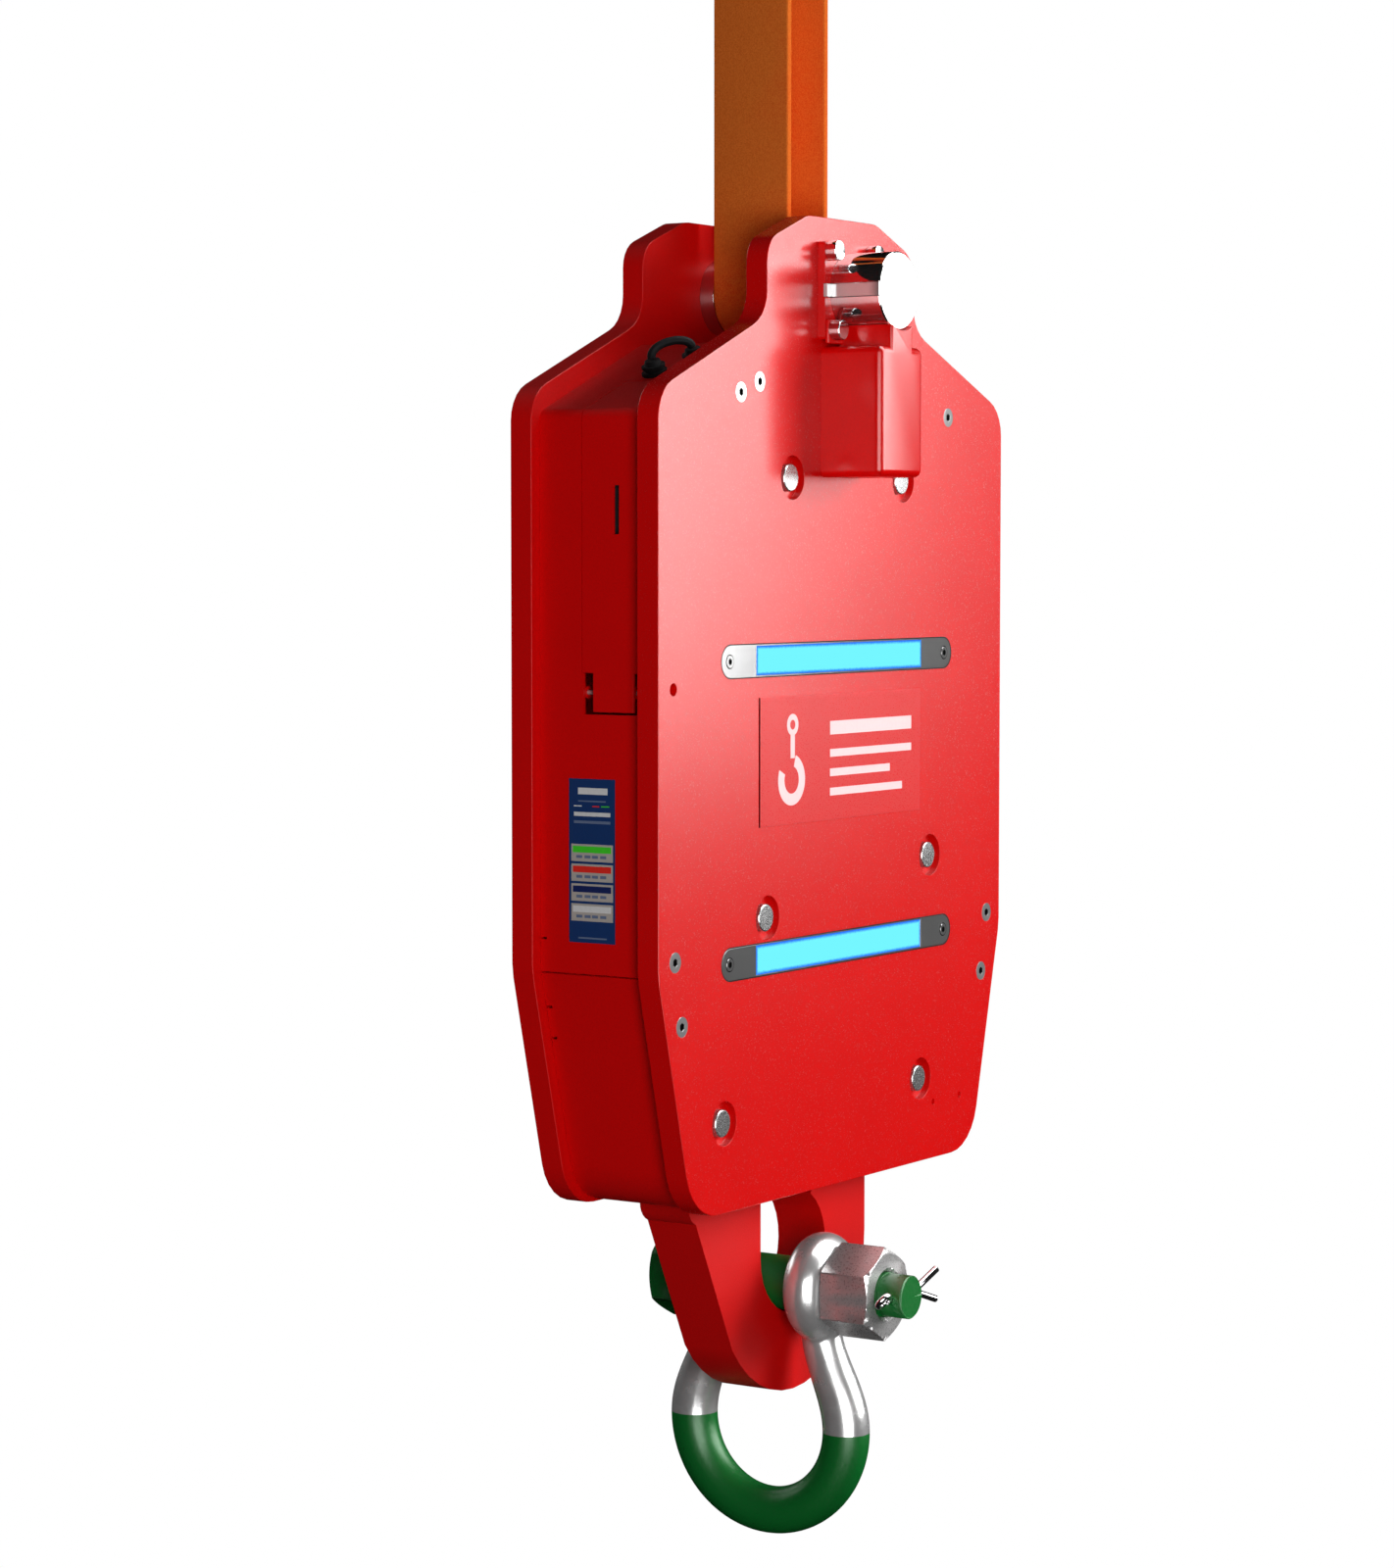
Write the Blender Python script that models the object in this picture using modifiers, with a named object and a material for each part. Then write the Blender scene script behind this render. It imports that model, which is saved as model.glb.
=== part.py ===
"""Remote-release crane hook block, hung on a webbing sling and carrying a bow shackle.

Block coordinates: X right along the side plates, Y from the front plate to the back plate,
Z up, all measured from the load pin's axis. World coordinates put the origin at the inside
top of the sling's upper bight, so the load pin's axis lies LOAD_PIN below it.
"""

import math

import bmesh
import bpy
from mathutils import Matrix, Vector

MM = 0.001
GAP = 0.3 * MM

# Side plates: half outline as (x, z, corner radius), from the head down.
PLATE_THICK = 25 * MM
CAVITY_HALF = 62 * MM
PLATE_BEVEL = 1.2 * MM
PLATE_HALF_OUTLINE = (
    (282.7, -922.5, 58), (343.6, -679.2, 60), (343.6, -111.0, 40),
    (146.8, -30.4, 40), (146.8, 44.5, 30), (67.6, 74.8, 35),
)
OUTER_HALF = CAVITY_HALF + PLATE_THICK

# Through bars and shafts, as (x, z).
TIE_BARS = {
    "upper_left": (-97.6 * MM, -190.9 * MM),
    "upper_right": (126.5 * MM, -191.0 * MM),
    "middle_left": (-144.6 * MM, -633.8 * MM),
    "middle_right": (186.0 * MM, -591.9 * MM),
}
PAWL_AXIS = (-225.5 * MM, -832.5 * MM)
HOOK_AXIS = (167.3 * MM, -832.5 * MM)
BAR_END_RADIUS = 14 * MM
BAR_RADIUS = 20 * MM
PIVOT_RADIUS = 25 * MM
COUNTERBORE_RADIUS = 22.5 * MM
COUNTERBORE_DEPTH = 8 * MM
BAR_END_RECESS = 1.5 * MM

# Countersunk screws that hold the casing to the front plate.
PLATE_SCREWS = (
    (-194.9, -108.1), (-159.8, -96.5), (223.5, -121.0),
    (-314.2, -664.1), (314.2, -664.1), (-302.2, -728.2), (302.2, -728.2),
)
SCREW_HEAD_RADIUS = 10.3 * MM
SCREW_SHANK_RADIUS = 5 * MM
SCREW_LENGTH = 22 * MM
SOCKET_RADIUS = 4 * MM
LIFT_HOLE = (-317.5 * MM, -398.9 * MM, 6.4 * MM)

# Casing between the plates.
CASING_HALF = 329.6 * MM
CASING_THICK = 4 * MM
CASING_HALF_WIDTH = CAVITY_HALF - GAP
ROOF_CORNER_Z = -129 * MM
ROOF_FLAT_Z = -55.5 * MM
ROOF_FLAT_HALF = 150 * MM
ROOF_SLOPE = math.atan2(ROOF_FLAT_Z - ROOF_CORNER_Z, CASING_HALF - ROOF_FLAT_HALF)
ROOF_JOINT_GAP = 2 * MM
ROOF_GLANDS = ((-236 * MM, -12 * MM), (-206 * MM, -40 * MM))
CASING_SEAM_Z = -679.5 * MM
CASING_SEAM_GAP = 1.6 * MM
CASING_BOTTOM_Z = -920.5 * MM
CASING_TOE_X = 215.9 * MM
CASING_HEEL_X = 268 * MM
CASING_HEEL_RADIUS = 58 * MM
SLOT_HALF_WIDTH = 34 * MM
SLOT_TOP_Z = -818 * MM

# Battery door in the casing's left side.
DOOR_EDGE_Y = 12.3 * MM
DOOR_BOTTOM_Z = -384.5 * MM
DOOR_ROOF_X = -252 * MM
TAB_NEAR_Y = -48.5 * MM
TAB_FAR_Y = -1.2 * MM
TAB_BOTTOM_Z = -422 * MM
HINGE_WINDOW_NEAR_Y = -55 * MM
HINGE_WINDOW_FAR_Y = 10.4 * MM
HINGE_AXIS = (-320.5 * MM, -403 * MM)
HINGE_PIN_RADIUS = 2.5 * MM
KNUCKLE_RADIUS = 6 * MM
FINGER_SLOT = (-31.6 * MM, -24.8 * MM, -248.7 * MM, -201.4 * MM)

# Load pin and what is bolted round it.
PIN_RADIUS = 40 * MM
SEAT_RADIUS = 31.3 * MM
SEAT_HALF = 45.6 * MM
PIN_FRONT_Y = -154 * MM
PIN_BACK_Y = 95 * MM
GAUGE_BORE_RADIUS = 9 * MM
FLANGE_HALF = 50 * MM
FLANGE_THICK = 9 * MM
FLANGE_BOLT_OFFSET = 40.3 * MM
BOLT_HEAD_RADIUS = 10.2 * MM
BOLT_HEAD_HEIGHT = 12 * MM
KEY_HALF_HEIGHT = 6.8 * MM
LUG_THICK = 4 * MM
BOX_HALF = 43.5 * MM
BOX_FRONT_Y = -158.5 * MM
BOX_TOP_Z = -56.5 * MM
BOX_BOTTOM_Z = -189.5 * MM
NECK_HALF = 21.5 * MM
NECK_TOP_Z = -33 * MM

# Webbing sling.
SLING_INNER_RADIUS = 31.6 * MM
SLING_THICK = 9.2 * MM
SLING_HALF_WIDTH = 45 * MM
LOAD_PIN = Vector((0, 0, -350 * MM))

# Status light bars on both faces.
LIGHT_HEIGHTS = {"upper": -374.3 * MM, "lower": -675.0 * MM}
LIGHT_HALF_LENGTH = 230.8 * MM
LIGHT_RADIUS = 16.1 * MM
LIGHT_DEPTH = 7 * MM
LENS_HALF_LENGTH = 166.5 * MM
LENS_HALF_HEIGHT = 14.9 * MM
LENS_DEPTH = 5 * MM

# Hook: a round seat under a straight tip and a shank that rises to its shaft.
HOOK_HALF_THICK = 29.3 * MM
HOOK_CENTRE_Z = -999 * MM
HOOK_SEAT_RADIUS = 65 * MM
HOOK_OUTER_RADIUS = 147.7 * MM
HOOK_BOSS_RADIUS = 58 * MM
BUSH_RADIUS = 29 * MM

# Hook drive: a toothed sector on the hook's shaft, and the pinion of the gear motor.
GEAR_MODULE = 4 * MM
SECTOR_TEETH = 50
SECTOR_CUT_TEETH = 18
PINION_TEETH = 18
PRESSURE_ANGLE = math.radians(20)
BACKLASH = 0.5 * MM
MESH_DIRECTION = math.radians(120)
SECTOR_HUB_RADIUS = 46 * MM
GEAR_NEAR_Y = 32 * MM
GEAR_FAR_Y = 50 * MM
PINION_SHAFT_RADIUS = 10 * MM

# Bow shackle, hanging from the hook's seat.
SHACKLE_PIN_RADIUS = 28.5 * MM
SEAT_CLEARANCE = 0.8 * MM
SHACKLE_AXIS = (0.0, HOOK_CENTRE_Z - HOOK_SEAT_RADIUS + SHACKLE_PIN_RADIUS + SEAT_CLEARANCE)
EYE_NEAR = 41.5 * MM
EYE_FAR = 87 * MM
EYE_RADIUS = 57.7 * MM
BOW_TUBE_RADIUS = 25 * MM
BOW_CROWN_RADIUS = 94.5 * MM
BOW_CROWN_DROP = 150.5 * MM
BOW_LEG_START = 24 * MM
BOW_FLARE_START = 38 * MM
BOW_NECK_SCALE = 0.86
LEG_STEPS = 7
NUT_THICK = 57 * MM
HEAD_THICK = 38 * MM
NUT_ACROSS_CORNERS = 99 * MM
PIN_STUB_RADIUS = 22.5 * MM
PIN_STUB_END = -172.5 * MM
COTTER_Y = -158.5 * MM
COTTER_RADIUS = 4.2 * MM
COTTER_TILT = math.radians(50)

# Colour, roughness and metallic value of each finish.
FINISHES = {
    "red_paint": ((0.55, 0.004, 0.004), 0.45, 0.0),
    "bright_steel": ((0.62, 0.62, 0.62), 0.22, 1.0),
    "dark_steel": ((0.10, 0.10, 0.11), 0.45, 0.9),
    "galvanised": ((0.55, 0.55, 0.56), 0.30, 0.9),
    "green_paint": ((0.004, 0.085, 0.016), 0.35, 0.0),
    "black_rubber": ((0.012, 0.013, 0.014), 0.70, 0.0),
    "black_plastic": ((0.03, 0.03, 0.033), 0.50, 0.0),
    "bronze": ((0.42, 0.24, 0.08), 0.35, 0.9),
    "cyan_lens": ((0.17, 0.92, 1.0), 0.25, 0.0),
    "circuit_green": ((0.01, 0.12, 0.05), 0.40, 0.0),
    "orange_webbing": ((0.55, 0.13, 0.03), 0.85, 0.0),
}

for leftover in list(bpy.data.objects):
    bpy.data.objects.remove(leftover, do_unlink=True)


def new_collection(name):
    """A collection under the scene's own."""
    collection = bpy.data.collections.new(name)
    bpy.context.scene.collection.children.link(collection)
    return collection


PARTS = new_collection("crane_hook_block")
CUTTERS = new_collection("cutters")


def make_material(name, finish):
    """A Principled material with the finish's colour, roughness and metallic value."""
    colour, roughness, metallic = FINISHES[finish]
    material = bpy.data.materials.new(name)
    material.use_nodes = True
    shader = material.node_tree.nodes["Principled BSDF"]
    shader.inputs["Base Color"].default_value = (*colour, 1)
    shader.inputs["Roughness"].default_value = roughness
    shader.inputs["Metallic"].default_value = metallic
    return material


def add_object(name, mesh, finish):
    """Link a mesh as a part with its own material, or as a hidden cutter if it has no finish."""
    piece = bpy.data.objects.new(name, mesh)
    if finish is None:
        piece.hide_render = True
        piece.display_type = "WIRE"
        CUTTERS.objects.link(piece)
        return piece
    mesh.materials.append(make_material(name, finish))
    PARTS.objects.link(piece)
    return piece


def smooth_by_angle(mesh, degrees=35):
    """Smooth shading with edges kept sharp above an angle."""
    mesh.shade_smooth()
    mesh.set_sharp_from_angle(angle=math.radians(degrees))


def set_origin(piece, x, z, y=0.0):
    """Put a piece's origin at a block point and place it in the world."""
    point = Vector((x, y, z))
    piece.data.transform(Matrix.Translation(-point))
    piece.location = LOAD_PIN + point
    return piece


# ---------------------------------------------------------------- shapes

def turn(vector, angle):
    """A plane vector turned counterclockwise by an angle."""
    return Matrix.Rotation(angle, 2) @ vector


def rounded(corners, arc_step=math.radians(13)):
    """Closed outline through (x, z, radius) corners, each radius made into an arc."""
    points = []
    for index, (x, z, radius) in enumerate(corners):
        corner = Vector((x, z))
        if radius == 0:
            points.append(corner)
            continue
        before = (Vector(corners[index - 1][:2]) - corner).normalized()
        after = (Vector(corners[(index + 1) % len(corners)][:2]) - corner).normalized()
        half = before.angle(after) / 2
        centre = corner + (before + after).normalized() * (radius / math.sin(half))
        spoke = corner + before * (radius / math.tan(half)) - centre
        side = math.copysign(1, -before.cross(after))
        sweep = side * (math.pi - 2 * half)
        steps = max(1, round(abs(sweep) / arc_step))
        points.extend(centre + turn(spoke, sweep * step / steps) for step in range(steps + 1))
    return points


def arc(centre, radius, start, end, steps):
    """Points on an arc, angles in degrees counterclockwise from +X."""
    angles = [math.radians(start + (end - start) * step / steps) for step in range(steps + 1)]
    return [Vector(centre) + radius * Vector((math.cos(a), math.sin(a))) for a in angles]


def running_bore(radius, sides):
    """Radius of a faceted bore whose flats still clear a shaft of the given radius."""
    return (radius + 0.1 * MM) / math.cos(math.pi / sides)


def in_mm(corners):
    """Corner lists written in millimetres, as metres."""
    return [tuple(value * MM for value in corner) for corner in corners]


def mesh_from_curve(name, curve, matrix):
    """The closed mesh of a curve object placed by a matrix, with its caps welded on."""
    guide = bpy.data.objects.new(name, curve)
    PARTS.objects.link(guide)
    bpy.context.view_layer.update()
    depsgraph = bpy.context.evaluated_depsgraph_get()
    mesh = bpy.data.meshes.new_from_object(guide.evaluated_get(depsgraph))
    bpy.data.objects.remove(guide)
    bpy.data.curves.remove(curve)
    mesh.name = name
    mesh.materials.clear()
    mesh.transform(matrix)
    body = bmesh.new()
    body.from_mesh(mesh)
    bmesh.ops.remove_doubles(body, verts=body.verts, dist=1e-6)
    bmesh.ops.recalc_face_normals(body, faces=body.faces)
    body.to_mesh(mesh)
    body.free()
    return mesh


def slab(name, finish, loops, y_near, y_far):
    """Flat piece from y_near to y_far: closed (x, z) loops, the outer one first."""
    curve = bpy.data.curves.new(name, "CURVE")
    curve.dimensions = "2D"
    curve.fill_mode = "BOTH"
    curve.extrude = (y_far - y_near) / 2
    for loop in loops:
        spline = curve.splines.new("POLY")
        spline.points.add(len(loop) - 1)
        for point, (x, z) in zip(spline.points, loop):
            point.co = (x, z, 0, 1)
        spline.use_cyclic_u = True
    stand_up = Matrix.Rotation(math.pi / 2, 4, "X")
    matrix = Matrix.Translation((0, (y_near + y_far) / 2, 0)) @ stand_up
    mesh = mesh_from_curve(name, curve, matrix)
    smooth_by_angle(mesh)
    return add_object(name, mesh, finish)


def tube(name, finish, points, radius, resolution=2, swell=None):
    """Round tube along a list of points, with filled ends and an optional scale at each point."""
    curve = bpy.data.curves.new(name, "CURVE")
    curve.dimensions = "3D"
    curve.bevel_depth = radius
    curve.bevel_resolution = resolution
    curve.use_fill_caps = True
    spline = curve.splines.new("POLY")
    spline.points.add(len(points) - 1)
    for point, place, scale in zip(spline.points, points, swell or [1] * len(points)):
        point.co = (*place, 1)
        point.radius = scale
    mesh = mesh_from_curve(name, curve, Matrix.Identity(4))
    smooth_by_angle(mesh)
    return add_object(name, mesh, finish)


def block(name, finish, low, high):
    """Box between two corners."""
    low, high = Vector(low), Vector(high)
    body = bmesh.new()
    bmesh.ops.create_cube(body, size=1)
    bmesh.ops.scale(body, vec=high - low, verts=body.verts)
    bmesh.ops.translate(body, vec=(low + high) / 2, verts=body.verts)
    mesh = bpy.data.meshes.new(name)
    body.to_mesh(mesh)
    body.free()
    return add_object(name, mesh, finish)


def rod(name, finish, x, z, radius, y_near, y_far, sides=24, twist=0.0):
    """Straight rod or prism along Y."""
    body = bmesh.new()
    bmesh.ops.create_cone(body, cap_ends=True, segments=sides, radius1=radius,
                          radius2=radius, depth=y_far - y_near,
                          matrix=Matrix.Rotation(math.pi / 2, 4, "X") @ Matrix.Rotation(twist, 4, "Z"))
    bmesh.ops.translate(body, vec=(x, (y_near + y_far) / 2, z), verts=body.verts)
    mesh = bpy.data.meshes.new(name)
    body.to_mesh(mesh)
    body.free()
    smooth_by_angle(mesh)
    return add_object(name, mesh, finish)


def turned(name, finish, x, z, profile, sides=32, ring=False):
    """Body turned about the Y axis line at (x, z): (y, radius) pairs along its outer side.

    The pairs run from the front end to the back end; a ring's pairs come back along its bore.
    """
    mesh = bpy.data.meshes.new(name)
    places = [(radius, 0, -y) for y, radius in profile]
    edges = [(index, index + 1) for index in range(len(places) - 1)]
    if ring:
        edges.append((len(places) - 1, 0))
    mesh.from_pydata(places, edges, [])
    piece = add_object(name, mesh, finish)
    screw = piece.modifiers.new("turn", "SCREW")
    screw.steps = sides
    screw.render_steps = sides
    screw.use_merge_vertices = True
    screw.merge_threshold = 1e-6
    screw.use_smooth_shade = True
    depsgraph = bpy.context.evaluated_depsgraph_get()
    solid = bpy.data.meshes.new_from_object(piece.evaluated_get(depsgraph))
    solid.transform(Matrix.Translation((x, 0, z)) @ Matrix.Rotation(math.pi / 2, 4, "X"))
    smooth_by_angle(solid)
    piece.modifiers.clear()
    piece.data = solid
    bpy.data.meshes.remove(mesh)
    solid.name = name
    return piece


def combine(piece, other, operation):
    """Boolean of a piece with another, which becomes a hidden cutter."""
    boolean = piece.modifiers.new(operation.lower(), "BOOLEAN")
    boolean.operation = operation
    boolean.object = other
    boolean.solver = "EXACT"


def cut(piece, *cutters):
    """Take cutters, placed in block coordinates, out of a piece."""
    for cutter in cutters:
        combine(piece, cutter, "DIFFERENCE")


def join(piece, *others):
    """Fuse other bodies into a piece."""
    for other in others:
        combine(piece, other, "UNION")


def soften(piece, width, segments=1):
    """Rounded edges, made before any cut."""
    bevel = piece.modifiers.new("bevel", "BEVEL")
    bevel.width = width
    bevel.segments = segments
    bevel.limit_method = "ANGLE"
    bevel.angle_limit = math.radians(40)


def settle(piece, x=0.0, z=0.0, y=0.0):
    """Apply a piece's modifiers, drop its cutters and set its origin at a block point."""
    bpy.context.view_layer.update()
    depsgraph = bpy.context.evaluated_depsgraph_get()
    old = piece.data
    mesh = bpy.data.meshes.new_from_object(piece.evaluated_get(depsgraph))
    cutters = [modifier.object for modifier in piece.modifiers if modifier.type == "BOOLEAN"]
    piece.modifiers.clear()
    piece.data = mesh
    bpy.data.meshes.remove(old)
    mesh.name = piece.name
    body = bmesh.new()
    body.from_mesh(mesh)
    bmesh.ops.remove_doubles(body, verts=body.verts, dist=2e-6)
    bmesh.ops.dissolve_degenerate(body, edges=body.edges, dist=2e-6)
    body.to_mesh(mesh)
    body.free()
    smooth_by_angle(mesh)
    for cutter in cutters:
        bpy.data.objects.remove(cutter, do_unlink=True)
    return set_origin(piece, x, z, y)


# ---------------------------------------------------------------- side plates

def plate_outline():
    """The side plates' closed outline, symmetric about x = 0."""
    right = in_mm(PLATE_HALF_OUTLINE)
    left = [(-x, z, radius) for x, z, radius in reversed(right)]
    return rounded(right + left)


def light_outline(height, grow=0.0):
    """Stadium outline of a light bar."""
    reach = LIGHT_HALF_LENGTH - LIGHT_RADIUS
    radius = LIGHT_RADIUS + grow
    return arc((reach, height), radius, -90, 90, 8) + arc((-reach, height), radius, 90, 270, 8)


def bar_cutters(x, z, outer, inward):
    """Clearance hole and counterbore for one through bar, opening at y = outer."""
    inner = outer + inward * PLATE_THICK
    floor = outer + inward * COUNTERBORE_DEPTH
    over = -inward * MM
    hole = sorted((outer + over, inner - over))
    pocket = sorted((outer + over, floor))
    return (rod("bar_hole", None, x, z, BAR_END_RADIUS + GAP, *hole, sides=16),
            rod("counterbore", None, x, z, COUNTERBORE_RADIUS, *pocket, sides=20))


def side_plate(name, outer, inward):
    """A side plate with its bevelled outline and the holes that both plates share."""
    faces = sorted((outer, outer + inward * PLATE_THICK))
    plate = slab(name, "red_paint", [plate_outline()], *faces)
    soften(plate, PLATE_BEVEL)
    span = (faces[0] - MM, faces[1] + MM)
    cut(plate, rod("pin_hole", None, 0, 0, PIN_RADIUS + GAP, *span, sides=36))
    for x, z in [*TIE_BARS.values(), PAWL_AXIS, HOOK_AXIS]:
        cut(plate, *bar_cutters(x, z, outer, inward))
    pocket = sorted((outer - inward * MM, outer + inward * (LIGHT_DEPTH + GAP)))
    for height in LIGHT_HEIGHTS.values():
        cut(plate, slab("light_pocket", None, [light_outline(height, GAP)], *pocket))
    return plate


def screw_profile(grow=0.0):
    """Countersunk screw from the front plate's face inwards, as (y, radius) pairs."""
    face = -OUTER_HALF
    head = SCREW_HEAD_RADIUS - SCREW_SHANK_RADIUS
    end = face + SCREW_LENGTH + grow
    return [(face - grow, 0), (face - grow, SCREW_HEAD_RADIUS + 2 * grow),
            (face + head, SCREW_SHANK_RADIUS + grow), (end, SCREW_SHANK_RADIUS + grow), (end, 0)]


def front_plate():
    """Front side plate: the shared holes, the screw seats and the lifting hole."""
    plate = side_plate("front_plate", -OUTER_HALF, 1)
    for x, z in in_mm(PLATE_SCREWS):
        cut(plate, turned("screw_seat", None, x, z, screw_profile(GAP), sides=12))
    x, z, radius = LIFT_HOLE
    cut(plate, rod("lift_hole", None, x, z, radius, -OUTER_HALF - MM, -CAVITY_HALF + MM, sides=12))
    return settle(plate)


def plate_screws():
    """Countersunk screws with hexagon sockets."""
    for number, (x, z) in enumerate(in_mm(PLATE_SCREWS), start=1):
        screw = turned(f"plate_screw_{number}", "bright_steel", x, z, screw_profile(), sides=12)
        cut(screw, rod("socket", None, x, z, SOCKET_RADIUS, -OUTER_HALF - MM,
                       -OUTER_HALF + 4 * MM, sides=6))
        settle(screw, x, z)


# ---------------------------------------------------------------- bars, shafts and lights

def through_bar(name, x, z, radius):
    """Bar between the plates with reduced ends that show in the counterbores."""
    shoulder = CAVITY_HALF - GAP
    end = OUTER_HALF - BAR_END_RECESS
    chamfer = 1.5 * MM
    profile = [(-end, 0), (-end, BAR_END_RADIUS - chamfer), (-end + chamfer, BAR_END_RADIUS),
               (-shoulder, BAR_END_RADIUS), (-shoulder, radius), (shoulder, radius),
               (shoulder, BAR_END_RADIUS), (end - chamfer, BAR_END_RADIUS),
               (end, BAR_END_RADIUS - chamfer), (end, 0)]
    return settle(turned(name, "bright_steel", x, z, profile, sides=16), x, z)


def through_bars():
    """Tie bars, the hook's shaft and the pawl's shaft."""
    for place, (x, z) in TIE_BARS.items():
        through_bar(f"tie_bar_{place}", x, z, BAR_RADIUS)
    through_bar("pawl_shaft", *PAWL_AXIS, BAR_RADIUS)
    through_bar("hook_shaft", *HOOK_AXIS, PIVOT_RADIUS)


def light_bar(side, height_name, outer, inward):
    """Metal light bar sunk in a plate, and the lens in its pocket."""
    height = LIGHT_HEIGHTS[height_name]
    span = sorted((outer, outer + inward * LIGHT_DEPTH))
    housing = slab(f"light_housing_{side}_{height_name}", "dark_steel", [light_outline(height)], *span)
    over = outer - inward * MM
    floor = outer + inward * LENS_DEPTH
    low, high = sorted((over, floor))
    reach, rise = LENS_HALF_LENGTH, LENS_HALF_HEIGHT
    cut(housing, block("lens_pocket", None, (-reach, low, height - rise), (reach, high, height + rise)))
    settle(housing)
    low, high = sorted((outer, floor - inward * GAP))
    lens = block(f"light_lens_{side}_{height_name}", "cyan_lens",
                 (-reach + GAP, low, height - rise + GAP), (reach - GAP, high, height + rise - GAP))
    settle(lens)


# ---------------------------------------------------------------- casing

def roof_slope_points(side):
    """Casing path from the lower seam up one side to the flat roof, as (x, z, radius)."""
    return [(side * CASING_HALF, CASING_SEAM_Z, 0), (side * CASING_HALF, ROOF_CORNER_Z, 12 * MM),
            (side * ROOF_FLAT_HALF, ROOF_FLAT_Z, 0)]


def lower_wall_points(side):
    """Casing path from the lower seam down to the toe beside the hook."""
    return [(side * CASING_HALF, CASING_SEAM_Z - CASING_SEAM_GAP, 0),
            (side * CASING_HEEL_X, CASING_BOTTOM_Z, CASING_HEEL_RADIUS),
            (side * CASING_TOE_X, CASING_BOTTOM_Z, 0)]


def path_points(corners):
    """Open path with its inner corner rounded."""
    (x0, z0, _), corner, (x2, z2, _) = corners
    return rounded([(x0, z0, 0), corner, (x2, z2, 0)])


def sheet_outline(path, side):
    """Closed outline of a sheet of the casing's thickness laid inside an open path."""
    inner = []
    for index, point in enumerate(path):
        before = path[max(index - 1, 0)]
        after = path[min(index + 1, len(path) - 1)]
        along = (after - before).normalized()
        inner.append(point + CASING_THICK * side * Vector((along.y, -along.x)))
    return path + inner[::-1]


def casing_sheet(name, path, side, near=-CASING_HALF_WIDTH, far=CASING_HALF_WIDTH):
    """Bent sheet between two Y planes."""
    return slab(name, "red_paint", [sheet_outline(path, side)], near, far)


def edge_notches(side, heights, wall_x):
    """Short slots in both edges of a side wall, beside the screwed lugs."""
    notches = []
    for height in heights:
        for edge in (-1, 1):
            near, far = sorted((edge * (CASING_HALF_WIDTH - 7 * MM), edge * (CASING_HALF_WIDTH + MM)))
            low, high = sorted((side * (wall_x - 12 * MM), side * (wall_x + 9 * MM)))
            notches.append(block("edge_notch", None, (low, near, height - 1.2 * MM),
                                 (high, far, height + 1.2 * MM)))
    return notches


def knuckle(name, near, far, grow=0.0):
    """Hinge knuckle round the door's hinge axis."""
    return rod(name, None, *HINGE_AXIS, KNUCKLE_RADIUS + grow, near, far, sides=16)


def door_hinge_bore(radius):
    """Cutter along the door's whole hinge axis."""
    return rod("hinge_bore", None, *HINGE_AXIS, radius, -CASING_HALF_WIDTH - MM, 30 * MM, sides=16)


def upper_left_casing():
    """Left wall and roof slope, open for the battery door and its hinge."""
    path = path_points(roof_slope_points(-1))
    casing = casing_sheet("casing_upper_left", path, 1)
    over = 20 * MM
    cut(casing, block("door_opening", None,
                      (-CASING_HALF - over, -CAVITY_HALF - over, DOOR_BOTTOM_Z),
                      (DOOR_ROOF_X, DOOR_EDGE_Y, over)))
    cut(casing, block("hinge_window", None,
                      (-CASING_HALF - over, HINGE_WINDOW_NEAR_Y, TAB_BOTTOM_Z - 2.2 * MM),
                      (-CASING_HALF + over, HINGE_WINDOW_FAR_Y, DOOR_BOTTOM_Z + MM)))
    cut(casing, *edge_notches(-1, [-646.3 * MM], CASING_HALF))
    join(casing, knuckle("knuckle_back", HINGE_WINDOW_FAR_Y, 22 * MM),
         knuckle("knuckle_front", -CASING_HALF_WIDTH, HINGE_WINDOW_NEAR_Y))
    cut(casing, door_hinge_bore(running_bore(HINGE_PIN_RADIUS, 16)))
    return settle(casing)


def battery_door():
    """Bent door with its hinge tab, knuckle and finger slot."""
    path = path_points(roof_slope_points(-1))
    clear = 0.6 * MM
    door = casing_sheet("battery_door", path, 1, -CASING_HALF_WIDTH, DOOR_EDGE_Y - clear)
    over = 20 * MM
    below = CASING_SEAM_Z - over
    left, inside = -CASING_HALF - over, -CASING_HALF + over
    cut(door, block("below_tab", None, (left, -CAVITY_HALF - over, below), (inside, over, TAB_BOTTOM_Z)))
    cut(door, block("beside_tab_front", None, (left, -CAVITY_HALF - over, TAB_BOTTOM_Z - MM),
                    (inside, TAB_NEAR_Y, DOOR_BOTTOM_Z + clear)))
    cut(door, block("beside_tab_back", None, (left, TAB_FAR_Y, TAB_BOTTOM_Z - MM),
                    (inside, over, DOOR_BOTTOM_Z + clear)))
    cut(door, block("above_door", None, (DOOR_ROOF_X - clear, -CAVITY_HALF - over, -300 * MM),
                    (0, over, over)))
    near, far, low, high = FINGER_SLOT
    cut(door, block("finger_slot", None, (left, near, low), (inside, far, high)))
    join(door, knuckle("door_knuckle", TAB_NEAR_Y + MM, TAB_FAR_Y - MM))
    cut(door, door_hinge_bore(running_bore(HINGE_PIN_RADIUS, 16)))
    return settle(door, *HINGE_AXIS)


def door_hinge_pin():
    """Pin through the door's knuckles."""
    pin = rod("door_hinge_pin", "bright_steel", *HINGE_AXIS, HINGE_PIN_RADIUS,
              -CASING_HALF_WIDTH + MM, 20 * MM, sides=16)
    return settle(pin, *HINGE_AXIS)


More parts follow.
